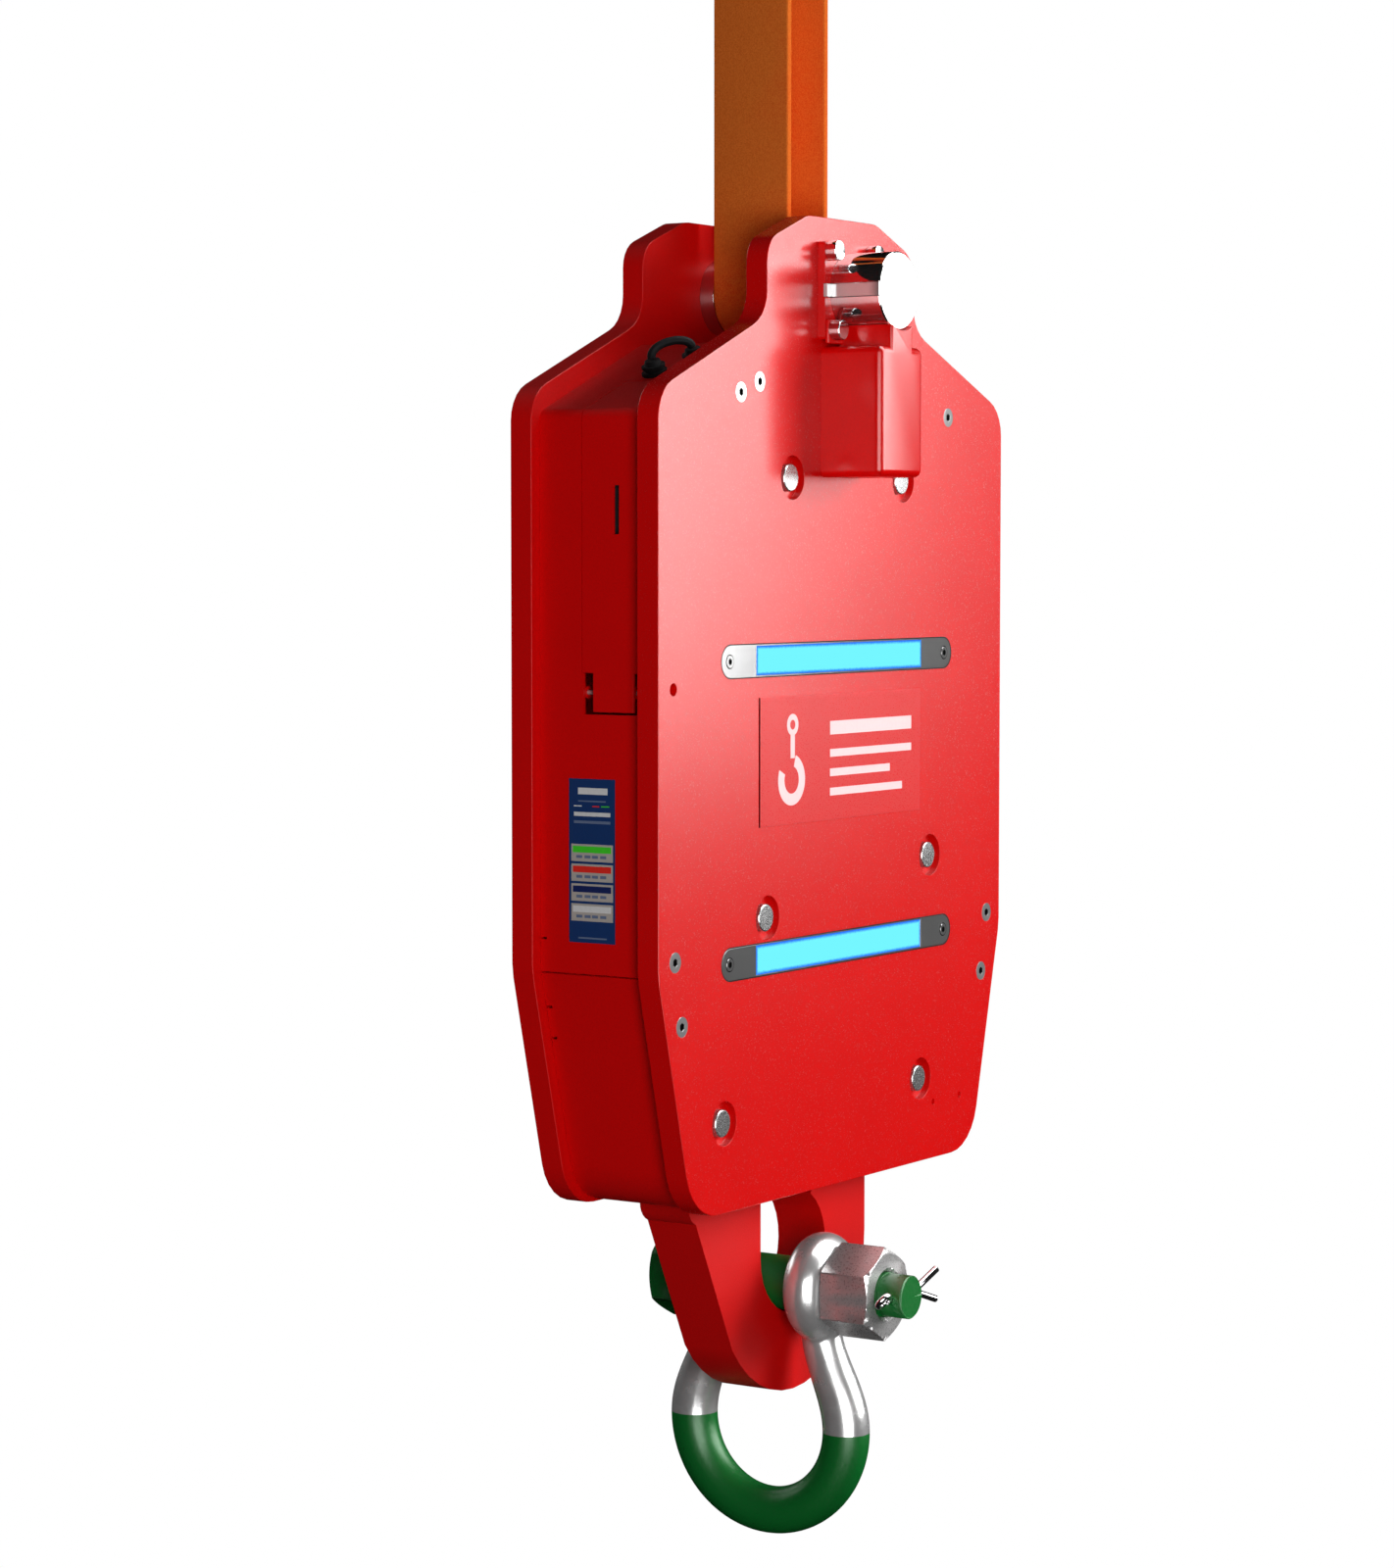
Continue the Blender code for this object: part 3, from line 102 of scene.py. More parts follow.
# Sling.
SLING_RADIUS = 31.6 * MM
SLING_THICK = 9.2 * MM
SLING_HALF = 45 * MM
SLING_EDGE = 2.2 * MM

# Shackle.
EYE_NEAR = 41.5 * MM
EYE_FAR = 87 * MM
EYE_RADIUS = 57.7 * MM
CROWN_RADIUS = 94.5 * MM
CROWN_DROP = 150.5 * MM
TUBE_RADIUS = 25 * MM
NECK_SCALE = 0.86
LEG_START = 24 * MM
FLARE_START = 38 * MM
PAINT_LINE = -1535 * MM
PIN_RADIUS = 28.5 * MM
HEAD_THICK = 38 * MM
STUB_RADIUS = 22.5 * MM
THREAD_RADIUS = 24 * MM
NUT_HALF_CORNERS = 49.5 * MM
NUT_NEAR = -144 * MM
COTTER_Y = -158.5 * MM
COTTER_HOLE_RADIUS = 4.5 * MM
COTTER_SHANK_RADIUS = 4.1 * MM
COTTER_EYE_X = -34 * MM
COTTER_EYE_RADIUS = 8 * MM
COTTER_TILT = math.radians(50)

# Front panel and side label.
PANEL_LOW = Vector((-160.4 * MM, 0, -891.8 * MM))
PANEL_HIGH = Vector((162.8 * MM, 0, -761.7 * MM))
PANEL_THICK = 0.8 * MM
INK_THICK = 0.15 * MM
LABEL_LOW = Vector((0, -27 * MM, -998.4 * MM))
LABEL_HIGH = Vector((0, 27.5 * MM, -837.3 * MM))
LABEL_FIELDS = ((0.398, "green"), (0.519, "red"), (0.640, "navy"), (0.762, "white"))

# Camera, as fitted to the picture's perspective.
CAMERA_PLACE = (-3.3980, -2.1086, -0.6179)
CAMERA_TARGET = (-0.1413, 0.0, -0.8517)
CAMERA_LENS = 87.64

# Soft boxes: place, target, width, height, radiance, and the rays that see them.
SOFT_BOXES = {
    "glare_box": ((1.630, -2.235, 1.395), (0.0, 0.0, -0.75), 3.13, 6.30, 9.3, "glossy"),
    "camera_box": ((-3.15, -3.10, -1.35), (0.0, 0.0, -1.2), 3.6, 3.2, 7.0, "glossy"),
    "left_box": ((-2.95, -2.60, -0.9), (0.0, 0.0, -0.9), 1.8, 1.8, 7.2, "diffuse"),
    "front_box": ((3.0, -3.6, 0.3), (0.0, 0.0, -0.9), 2.6, 2.6, 10.3, "diffuse"),
    "back_box": ((1.4, 4.2, 0.3), (0.0, 0.0, -0.9), 2.6, 2.6, 7.0, "diffuse"),
    "back_glow": ((0.4, 4.6, 1.2), (0.0, 0.0, -0.9), 3.0, 3.0, 3.0, "glossy"),
}
ROOM_RADIUS = 14.0
ROOM_LIGHT = 0.06
FLOOR_RADIUS = 5.0
FLOOR_HEIGHT = -6.0


# ---------------------------------------------------------------- material nodes

def new_material(name):
    """An empty Principled material and its tree and shader."""
    material = bpy.data.materials.new(name)
    material.use_nodes = True
    return material, material.node_tree, material.node_tree.nodes["Principled BSDF"]


def add(tree, kind, inputs=(), **settings):
    """Add a shader node, set its properties, and set or link its inputs by name or number."""
    made = tree.nodes.new(kind)
    for name, value in settings.items():
        setattr(made, name, value)
    for socket, value in dict(inputs).items():
        if isinstance(value, bpy.types.NodeSocket):
            tree.links.new(value, made.inputs[socket])
        else:
            made.inputs[socket].default_value = value
    return made


def place_of(tree):
    """Rest position in metres, which moves with the piece."""
    return add(tree, "ShaderNodeTexCoord").outputs["Object"]


def noise(tree, scale, detail=2.0, stretch=None):
    """Noise value in 0..1 with features of about 1/scale metres."""
    place = place_of(tree)
    if stretch:
        place = add(tree, "ShaderNodeMapping", {"Vector": place, "Scale": stretch}).outputs[0]
    made = add(tree, "ShaderNodeTexNoise", {"Vector": place, "Scale": scale, "Detail": detail})
    return made.outputs["Fac"]


def spread(tree, value, low, high, start=0.3, end=0.7):
    """Value from start..end stretched to low..high."""
    made = add(tree, "ShaderNodeMapRange", {"Value": value, "From Min": start, "From Max": end,
                                            "To Min": low, "To Max": high})
    return made.outputs["Result"]


def blend_colours(tree, factor, first, second):
    """Mix of two colours or colour sockets by a factor socket."""
    made = add(tree, "ShaderNodeMix", {0: factor}, data_type="RGBA")
    for socket, value in ((made.inputs[6], first), (made.inputs[7], second)):
        if isinstance(value, bpy.types.NodeSocket):
            tree.links.new(value, socket)
        else:
            socket.default_value = (*value, 1)
    return made.outputs[2]


def bump(tree, shader, height, distance):
    """Bump on a shader from a height socket in 0..1."""
    made = add(tree, "ShaderNodeBump", {"Height": height, "Distance": distance, "Strength": 1.0})
    tree.links.new(made.outputs["Normal"], shader.inputs["Normal"])


def paint(name, colour, shade, roughness, grain=650.0, gloss=0.5):
    """Powder coat: slight colour drift, a fine grain, and a gloss that varies from speck to speck."""
    material, tree, shader = new_material(name)
    drift = blend_colours(tree, spread(tree, noise(tree, 9.0, 3.0), 0.0, 1.0), colour, shade)
    specks = spread(tree, noise(tree, grain, 2.0), 0.0, 1.0)
    deep = tuple(channel * 0.86 for channel in colour)
    tree.links.new(blend_colours(tree, specks, drift, deep), shader.inputs["Base Color"])
    tree.links.new(spread(tree, specks, roughness - 0.05, roughness + 0.05, 0.0, 1.0),
                   shader.inputs["Roughness"])
    shader.inputs["IOR"].default_value = 1.45
    shader.inputs["Specular IOR Level"].default_value = gloss
    bump(tree, shader, specks, 0.03 * MM)
    return material


def metal(name, colour, roughness, bareness, grain=(1.0, 1.0, 1.0), depth=0.01, tint=0.9):
    """Metal with machining marks stretched by grain; bareness is how little its surface scatters."""
    material, tree, shader = new_material(name)
    shader.inputs["Metallic"].default_value = bareness
    dull = tuple(channel * tint for channel in colour)
    tree.links.new(blend_colours(tree, spread(tree, noise(tree, 40.0, 4.0), 0.0, 1.0), colour, dull),
                   shader.inputs["Base Color"])
    marks = noise(tree, 500.0, 3.0, grain)
    tree.links.new(spread(tree, marks, roughness * 0.8, roughness * 1.2), shader.inputs["Roughness"])
    bump(tree, shader, marks, depth * MM)
    return material


def galvanised(name):
    """Hot-dip zinc: bright, softly mottled, with faint crystal facets."""
    material, tree, shader = new_material(name)
    shader.inputs["Metallic"].default_value = 0.55
    cells = add(tree, "ShaderNodeTexVoronoi", {"Vector": place_of(tree), "Scale": 160.0})
    spangle = add(tree, "ShaderNodeSeparateColor", {0: cells.outputs["Color"]}).outputs[0]
    clouds = noise(tree, 55.0, 4.0)
    mottle = add(tree, "ShaderNodeMath", {0: spangle, 1: clouds}, operation="MULTIPLY").outputs[0]
    tree.links.new(blend_colours(tree, mottle, (0.62, 0.62, 0.62), (0.72, 0.72, 0.72)),
                   shader.inputs["Base Color"])
    tree.links.new(spread(tree, clouds, 0.20, 0.29), shader.inputs["Roughness"])
    bump(tree, shader, noise(tree, 300.0, 3.0), 0.05 * MM)
    return material


def rubber(name, colour, roughness, gloss=0.4):
    """Moulded rubber or plastic with a fine matt grain."""
    material, tree, shader = new_material(name)
    pale = tuple(channel * 1.7 + 0.001 for channel in colour)
    tree.links.new(blend_colours(tree, noise(tree, 120.0, 4.0), colour, pale), shader.inputs["Base Color"])
    tree.links.new(spread(tree, noise(tree, 90.0, 3.0), roughness - 0.08, roughness + 0.08),
                   shader.inputs["Roughness"])
    shader.inputs["Specular IOR Level"].default_value = gloss
    bump(tree, shader, noise(tree, 1400.0, 2.0), 0.03 * MM)
    return material


def webbing(name):
    """Orange polyester webbing: a fine plain weave with flecked yarns, read from UV in metres."""
    material, tree, shader = new_material(name)
    place = add(tree, "ShaderNodeTexCoord").outputs["UV"]
    yarns = []
    for direction, pitch in (("X", 1.3 * MM), ("Y", 1.9 * MM)):
        yarns.append(add(tree, "ShaderNodeTexWave", {"Vector": place, "Scale": math.tau / pitch / 20,
                                                     "Distortion": 1.5, "Detail": 2.0, "Detail Scale": 3.0},
                         bands_direction=direction).outputs["Fac"])
    weave = add(tree, "ShaderNodeMath", {0: yarns[0], 1: yarns[1]}, operation="MULTIPLY").outputs[0]
    fleck = spread(tree, noise(tree, 750.0, 3.0), 0.0, 1.0, 0.35, 0.65)
    height = add(tree, "ShaderNodeMix", {0: 0.7, 2: weave, 3: fleck}, data_type="FLOAT").outputs[0]
    warm = blend_colours(tree, spread(tree, noise(tree, 7.0, 3.0), 0.0, 1.0, 0.4, 0.6),
                         (0.77, 0.098, 0.012), (0.71, 0.138, 0.016))
    tree.links.new(blend_colours(tree, height, warm, (0.90, 0.215, 0.034)), shader.inputs["Base Color"])
    shader.inputs["Roughness"].default_value = 0.8
    shader.inputs["Specular IOR Level"].default_value = 0.0
    bump(tree, shader, height, 0.2 * MM)
    return material


def lit_lens(name, low, high):
    """Lit lens: cyan in the middle and deep blue along its rim, from the lens's own corners."""
    material, tree, shader = new_material(name)
    centre, half = (low + high) / 2, (high - low) / 2
    parts = add(tree, "ShaderNodeSeparateXYZ", {0: place_of(tree)}).outputs
    margins = []
    for axis in (0, 2):
        offset = add(tree, "ShaderNodeMath", {0: parts[axis], 1: centre[axis]}, operation="SUBTRACT")
        reach = add(tree, "ShaderNodeMath", {0: offset.outputs[0]}, operation="ABSOLUTE")
        margins.append(add(tree, "ShaderNodeMath", {0: half[axis], 1: reach.outputs[0]},
                           operation="SUBTRACT").outputs[0])
    rim = add(tree, "ShaderNodeMath", {0: margins[0], 1: margins[1]}, operation="MINIMUM").outputs[0]
    wander = spread(tree, noise(tree, 400.0, 2.0), -0.4 * MM, 0.4 * MM)
    rim = add(tree, "ShaderNodeMath", {0: rim, 1: wander}, operation="ADD").outputs[0]
    glow = blend_colours(tree, spread(tree, rim, 0.0, 1.0, 0.8 * MM, 3.4 * MM),
                         (0.03, 0.22, 1.0), (0.178, 0.93, 1.0))
    tree.links.new(glow, shader.inputs["Emission Color"])
    shader.inputs["Emission Strength"].default_value = 1.0
    shader.inputs["Base Color"].default_value = (0.0, 0.0, 0.0, 1)
    shader.inputs["Roughness"].default_value = 0.5
    shader.inputs["Specular IOR Level"].default_value = 0.0
    return material


def printed(name, colour):
    """Printed vinyl in one ink, with slight print mottle and an eggshell gloss."""
    material, tree, shader = new_material(name)
    worn = tuple(channel * 0.85 for channel in colour)
    tree.links.new(blend_colours(tree, noise(tree, 260.0, 4.0), colour, worn), shader.inputs["Base Color"])
    shader.inputs["Roughness"].default_value = 0.45
    bump(tree, shader, noise(tree, 150.0, 2.0), 0.02 * MM)
    return material


RED = paint("red_paint", (0.80, 0.0012, 0.0012), (0.74, 0.0010, 0.0010), 0.235)
MATT_RED = paint("matt_red_paint", (0.80, 0.0012, 0.0012), (0.74, 0.0010, 0.0010), 0.42, 650.0, 0.12)
# The hook's red is rougher than the plates' red, and darker as painted shade for its place between the
# plates.
SHADED_HOOK_RED = paint("hook_red_with_painted_shade", (0.73, 0.0010, 0.0010), (0.68, 0.0009, 0.0009), 0.48, 650.0, 0.14)
BOX_RED = paint("box_red_paint", (0.80, 0.0012, 0.0012), (0.74, 0.0010, 0.0010), 0.21)
PANEL_RED = paint("panel_red", (0.76, 0.0012, 0.0012), (0.70, 0.0010, 0.0010), 0.30, 650.0, 0.38)
GREEN = paint("green_paint", (0.0022, 0.170, 0.024), (0.0018, 0.145, 0.019), 0.36, 300.0)
MIRROR = metal("polished_pin", (0.66, 0.66, 0.67), 0.06, 0.97, (1.0, 30.0, 1.0), 0.002)
FACED = metal("faced_pin_end", (0.85, 0.85, 0.85), 0.30, 0.9, (1.0, 1.0, 1.0), 0.004)
NUT_GREY = metal("dull_zinc", (0.50, 0.49, 0.49), 0.30, 0.5, (1.0, 1.0, 1.0), 0.03)
BAR_STEEL = metal("turned_bar", (0.42, 0.42, 0.42), 0.24, 0.8, (1.0, 1.0, 1.0), 0.001)
STEEL = metal("machined_steel", (0.56, 0.56, 0.56), 0.14, 0.65, (1.0, 8.0, 1.0), 0.01)
DARK_STEEL = metal("oiled_steel", (0.10, 0.10, 0.11), 0.38, 0.8, (1.0, 1.0, 1.0), 0.05)
ZINC = galvanised("galvanised_zinc")
BRONZE = metal("bearing_bronze", (0.46, 0.27, 0.10), 0.30, 0.9, (1.0, 10.0, 1.0), 0.02)
CAP = metal("anodised_cap", (0.27, 0.27, 0.27), 0.13, 0.62, (1.0, 1.0, 1.0), 0.05, 0.95)
RUBBER = rubber("black_rubber", (0.003, 0.003, 0.0035), 0.7, 0.1)
PLASTIC = rubber("black_plastic", (0.022, 0.022, 0.025), 0.45)
BOARD = printed("solder_mask", (0.01, 0.12, 0.05))
STRAP = webbing("orange_webbing")
INK_WHITE = printed("white_ink", (0.95, 0.68, 0.69))
INK_GREY = printed("grey_ink", (0.80, 0.80, 0.80))
INK_BLUE = printed("blue_ink", (0.001, 0.035, 0.165))
INK_NAVY = printed("navy_ink", (0.001, 0.013, 0.12))
INK_GREEN = printed("green_ink", (0.057, 0.76, 0.019))
INK_RED = printed("red_ink", (0.92, 0.019, 0.008))
INK_STEEL = printed("steel_blue_ink", (0.14, 0.19, 0.32))
INK_BEIGE = printed("beige_ink", (0.51, 0.46, 0.42))
# Near-black that paints the shade in screw sockets, the keyway, the end-screw rings and the panel's edge.
PAINTED_SHADE = rubber("painted_recess_shade", (0.002, 0.002, 0.002), 0.9, 0.0)


# ---------------------------------------------------------------- shapes

def made_of(name, body, *materials):
    """Turn a bmesh into a linked object with its materials."""
    mesh = bpy.data.meshes.new(name)
    body.to_mesh(mesh)
    body.free()
    piece = bpy.data.objects.new(name, mesh)
    bpy.context.scene.collection.objects.link(piece)
    for material in materials:
        mesh.materials.append(material)
    return piece


def smooth(piece, degrees):
    """Smooth shading with edges kept sharp above an angle."""
    piece.data.shade_smooth()
    piece.data.set_sharp_from_angle(angle=math.radians(degrees))
    return piece


def round_edges(piece, width, segments=3, degrees=30.0):
    """Rounded edges whose flat faces stay flat."""
    bevel = piece.modifiers.new("edges", "BEVEL")
    bevel.width = width
    bevel.segments = segments
    bevel.limit_method = "ANGLE"
    bevel.angle_limit = math.radians(degrees)
    bevel.use_clamp_overlap = True
    bevel.harden_normals = False
    piece.data.shade_smooth()
    weighted = piece.modifiers.new("flat_faces", "WEIGHTED_NORMAL")
    weighted.keep_sharp = False
    weighted.weight = 100
    return piece


def baked(piece):
    """Apply a piece's modifiers to its mesh."""
    bpy.context.view_layer.update()
    depsgraph = bpy.context.evaluated_depsgraph_get()
    mesh = bpy.data.meshes.new_from_object(piece.evaluated_get(depsgraph), depsgraph=depsgraph,
                                           preserve_all_data_layers=True)
    piece.modifiers.clear()
    piece.data = mesh
    return piece


def carve(piece, *cutters, operation="DIFFERENCE"):
    """Cut other pieces out of one, or join or intersect them, and remove them."""
    for cutter in cutters:
        boolean = piece.modifiers.new("carve", "BOOLEAN")
        boolean.operation = operation
        boolean.object = cutter
        boolean.solver = "EXACT"
        boolean.material_mode = "TRANSFER"
    baked(piece)
    for cutter in cutters:
        bpy.data.objects.remove(cutter)
    return piece


def lathe(name, profile, x, z, material, sides=64):
    """Body turned about the Y line at (x, z), from (y, radius) pairs that run front to back."""
    body = bmesh.new()
    rings = []
    for y, radius in profile:
        if radius == 0:
            rings.append([body.verts.new((x, y, z))])
            continue
        rings.append([body.verts.new((across, y, up)) for across, up in circle(x, z, radius, sides)])
    for first, second in zip(rings, rings[1:]):
        for side in range(sides):
            after = (side + 1) % sides
            corners = [first[side % len(first)], first[after % len(first)],
                       second[after % len(second)], second[side % len(second)]]
            body.faces.new(list(dict.fromkeys(corners)))
    bmesh.ops.recalc_face_normals(body, faces=body.faces)
    return made_of(name, body, material)


def rod(name, near, far, radius, x, z, material, sides):
    """Plain round bar along Y."""
    return lathe(name, [(near, 0), (near, radius), (far, radius), (far, 0)], x, z, material, sides)


def prism(name, outline, near, far, material):
    """Closed (x, z) outline extruded along Y from near to far."""
    body = bmesh.new()
    rows = [[body.verts.new((x, depth, z)) for x, z in outline] for depth in (near, far)]
    body.faces.new(rows[0])
    body.faces.new(rows[1])
    count = len(outline)
    for index in range(count):
        after = (index + 1) % count
        body.faces.new((rows[0][index], rows[0][after], rows[1][after], rows[1][index]))
    bmesh.ops.recalc_face_normals(body, faces=body.faces)
    return made_of(name, body, material)


def block(name, low, high, material):
    """Box between two corners."""
    low, high = Vector(low), Vector(high)
    body = bmesh.new()
    bmesh.ops.create_cube(body, size=1)
    bmesh.ops.scale(body, vec=high - low, verts=body.verts)
    bmesh.ops.translate(body, vec=(low + high) / 2, verts=body.verts)
    return made_of(name, body, material)


def circle(x, z, radius, sides, start=0.0):
    """Outline points round a centre."""
    return [(x + radius * math.cos(start + math.tau * side / sides),
             z + radius * math.sin(start + math.tau * side / sides)) for side in range(sides)]


def stadium(low, high, steps=20):
    """Outline of a round-ended bar in the XZ plane that fills a box."""
    radius = (high.z - low.z) / 2
    middle = (high.z + low.z) / 2
    points = []
    for centre, start in ((high.x - radius, -math.pi / 2), (low.x + radius, math.pi / 2)):
        for step in range(steps + 1):
            angle = start + math.pi * step / steps
            points.append((centre + radius * math.cos(angle), middle + radius * math.sin(angle)))
    return points


def tube(name, points, radius, material, resolution=6, radii=None):
    """Round tube along a smooth list of points, with filled ends."""
    curve = bpy.data.curves.new(name, "CURVE")
    curve.dimensions = "3D"
    curve.bevel_depth = radius
    curve.bevel_resolution = resolution
    curve.use_fill_caps = True
    spline = curve.splines.new("POLY")
    spline.points.add(len(points) - 1)
    for index, place in enumerate(points):
        spline.points[index].co = (*place, 1)
        spline.points[index].radius = radii[index] if radii else 1.0
    guide = bpy.data.objects.new(name, curve)
    bpy.context.scene.collection.objects.link(guide)
    bpy.context.view_layer.update()
    mesh = bpy.data.meshes.new_from_object(guide.evaluated_get(bpy.context.evaluated_depsgraph_get()))
    bpy.data.objects.remove(guide)
    bpy.data.curves.remove(curve)
    body = bmesh.new()
    body.from_mesh(mesh)
    bpy.data.meshes.remove(mesh)
    bmesh.ops.remove_doubles(body, verts=body.verts, dist=1e-6)
    bmesh.ops.recalc_face_normals(body, faces=body.faces)
    piece = made_of(name, body, material)
    return smooth(piece, 50.0)


def joined(pieces):
    """Several pieces as one object, with each one's own material."""
    bpy.ops.object.select_all(action="DESELECT")
    for piece in pieces:
        baked(piece)
        piece.select_set(True)
    bpy.context.view_layer.objects.active = pieces[0]
    bpy.ops.object.join()
    return pieces[0]


def fit(piece, body, slot, *stands_for):
    """Put a piece on its body in place of the CAD nodes it stands for; the slot is not used."""
    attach(piece, body)
    if stands_for:
        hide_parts(*stands_for)
    return piece


def refined(node, body, slot, material, width, segments=3, degrees=25.0, cutters=()):
    """Welded, finely rounded copy of a CAD node, which it stands for, with any further cuts."""
    work = bmesh.new()
    work.from_mesh(NODES[node].data)
    bmesh.ops.remove_doubles(work, verts=work.verts, dist=1e-6)
    bmesh.ops.dissolve_limit(work, angle_limit=math.radians(0.5), verts=work.verts, edges=work.edges)
    for face in work.faces:
        face.material_index = 0
    piece = made_of(f"{node}_finished", work, material)
    if cutters:
        carve(piece, *cutters)
    round_edges(piece, width, segments, degrees)
    return fit(piece, body, slot, node)


def middle(node):
    """Centre of a CAD node's box."""
    low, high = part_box(node)
    return (low + high) / 2


# ---------------------------------------------------------------- plates and casing


def plate_dimple(x, z):
    """Cutter for a small blind hole in the front plate."""
    mouth, floor = FRONT_FACE - MM, FRONT_FACE + DIMPLE_DEPTH
    profile = [(mouth, 0), (mouth, DIMPLE_RADIUS), (floor, DIMPLE_RADIUS), (floor + 2 * MM, 0)]
    return lathe("dimple", profile, x, z, RED, 24)


def plates_and_casing():
    """Plates and sheet metal: the CAD's own shapes with finely rounded edges."""
    dimples = [plate_dimple(x, z) for x, z in PLATE_DIMPLES]
    refined("front_plate", "housing", "red_paint", RED, SHEET_EDGE, 2, cutters=dimples)
    refined("back_plate", "housing", "red_paint", MATT_RED, SHEET_EDGE, 2)
    for node in ("casing_upper_left", "casing_upper_right", "casing_lower_left", "casing_lower_right"):
        refined(node, "housing", "red_paint", MATT_RED, SHEET_EDGE, 2)
    refined("battery_door", "door", "red_paint", MATT_RED, SHEET_EDGE, 2)
    refined("pin_flange", "housing", "red_paint", RED, 0.6 * MM, 3)
    refined("keeper_key", "housing", "bright_steel", STEEL, 0.4 * MM, 3)


def rounded_block(name, low, high, radius, segments, material):
    """Box with all its edges rounded."""
    piece = block(name, low, high, material)
    bevel = piece.modifiers.new("round", "BEVEL")
    bevel.width = radius
    bevel.segments = segments
    return baked(piece)


def load_cell_box():
    """Round-edged hollow box under the pin with its neck and bolted lug."""
    low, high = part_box("load_cell_box")
    lug_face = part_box("pin_flange")[0].y - GAP
    lug_front = lug_face - LUG_THICK
    box = rounded_block("load_cell_box_finished", (-BOX_HALF, low.y, low.z),
                        (BOX_HALF, high.y + 2 * BOX_EDGE, BOX_TOP), BOX_EDGE, 10, BOX_RED)
    carve(box, block("back_trim", (-BOX_HALF - MM, high.y, low.z - MM),
                     (BOX_HALF + MM, high.y + 3 * BOX_EDGE, BOX_TOP + MM), RED))
    neck = rounded_block("neck", (-BOX_NECK_HALF, low.y, BOX_TOP - 12 * MM),
                         (BOX_NECK_HALF, lug_face - MM, BOX_NECK_TOP), 4 * MM, 6, BOX_RED)
    lug = rounded_block("lug", (-LUG_HALF, lug_front, LUG_LOW), (LUG_HALF, lug_face, LUG_HIGH),
                        1.2 * MM, 3, RED)
    step = block("step", (-BOX_NECK_HALF, lug_front, BOX_TOP - MM),
                 (BOX_NECK_HALF, lug_face, LUG_LOW + 2 * MM), RED)
    carve(box, neck, lug, step, operation="UNION")
    relief = rod("pin_relief", low.y - MM, high.y, RELIEF_RADIUS, 0, PIN_Z, RED, 96)
    hollow = block("hollow", (-BOX_HALF + BOX_WALL, low.y + BOX_WALL, low.z + BOX_WALL),
                   (BOX_HALF - BOX_WALL, high.y + MM, BOX_TOP - BOX_WALL), RED)
    carve(box, relief, hollow)
    smooth(box, 40)
    fit(box, "housing", "red_paint", "load_cell_box")


def hexagon_socket(name, x, z, face, depth, radius, side=-1):
    """Cutter for a hexagon socket that opens at a face; its black faces stay in the socket as painted shade.
    """
    near, far = sorted((face + side * MM, face - side * depth))
    return prism(name, circle(x, z, radius, 6, math.pi / 6), near, far, PAINTED_SHADE)


def plate_screws():
    """Countersunk screws with hexagon sockets."""
    for number in range(1, 8):
        node = f"plate_screw_{number}"
        low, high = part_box(node)
        centre = (low + high) / 2
        radius = (high.x - low.x) / 2
        shank = radius * 0.48
        cone_end = low.y + radius - shank
        profile = [(low.y, 0), (low.y, radius), (cone_end, shank), (high.y, shank), (high.y, 0)]
        screw = lathe(f"{node}_finished", profile, centre.x, centre.z, STEEL, 48)
        carve(screw, hexagon_socket("socket", centre.x, centre.z, low.y, SOCKET_DEPTH, SOCKET_RADIUS))
        round_edges(screw, 0.35 * MM, 2)
        fit(screw, "housing", "bright_steel", node)


def through_bars():
    """Bars and shafts between the plates, with chamfered ends."""
    bars = sorted(name for name in NODES if name.startswith("tie_bar"))
    for node in [*bars, "pawl_shaft", "hook_shaft"]:
        low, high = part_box(node)
        centre = (low + high) / 2
        outer = (high.x - low.x) / 2
        flat = BAR_END_RADIUS - BAR_CHAMFER
        profile = [(low.y, 0), (low.y, flat), (low.y + BAR_CHAMFER, BAR_END_RADIUS),
                   (-BAR_SHOULDER, BAR_END_RADIUS), (-BAR_SHOULDER, outer),
                   (BAR_SHOULDER, outer), (BAR_SHOULDER, BAR_END_RADIUS),
                   (high.y - BAR_CHAMFER, BAR_END_RADIUS), (high.y, flat), (high.y, 0)]
        bar = lathe(f"{node}_finished", profile, centre.x, centre.z, BAR_STEEL)
        round_edges(bar, 0.3 * MM, 2)
        fit(bar, "housing", "bright_steel", node)


# ---------------------------------------------------------------- load pin

def load_pin():
    """Polished pin with its keyway and a duller faced end."""
    radius = (PIN_HIGH.z - PIN_LOW.z) / 2
    flat = radius - PIN_CHAMFER
    bore_floor = PIN_HIGH.y - PIN_BORE_DEPTH
    profile = [(PIN_LOW.y, 0), (PIN_LOW.y, flat), (PIN_LOW.y + PIN_CHAMFER, radius),
               (-PIN_SEAT_HALF, radius), (-PIN_SEAT_HALF, PIN_SEAT_RADIUS),
               (PIN_SEAT_HALF, PIN_SEAT_RADIUS), (PIN_SEAT_HALF, radius),
               (PIN_HIGH.y - PIN_CHAMFER, radius), (PIN_HIGH.y, flat), (PIN_HIGH.y, PIN_BORE_RADIUS),
               (bore_floor, PIN_BORE_RADIUS), (bore_floor, 0)]
    pin = lathe("load_pin_finished", profile, middle("load_pin").x, PIN_Z, MIRROR, 128)
    key_low, key_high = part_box("keeper_key")
    # The keyway's faces take the cutter's black: painted shade in the slot.
    slot = block("keyway", (key_low.x, PIN_LOW.y - MM, key_low.z - GAP),
                 (key_high.x + GAP, FRONT_FACE - 2 * MM, key_high.z + GAP), PAINTED_SHADE)
    carve(pin, slot)
    pin.data.materials.append(FACED)
    for face in pin.data.polygons:
        if face.center.y < PIN_LOW.y + 0.1 * MM:
            face.material_index = len(pin.data.materials) - 1
    round_edges(pin, 0.4 * MM, 2)
    fit(pin, "housing", "bright_steel", "load_pin")


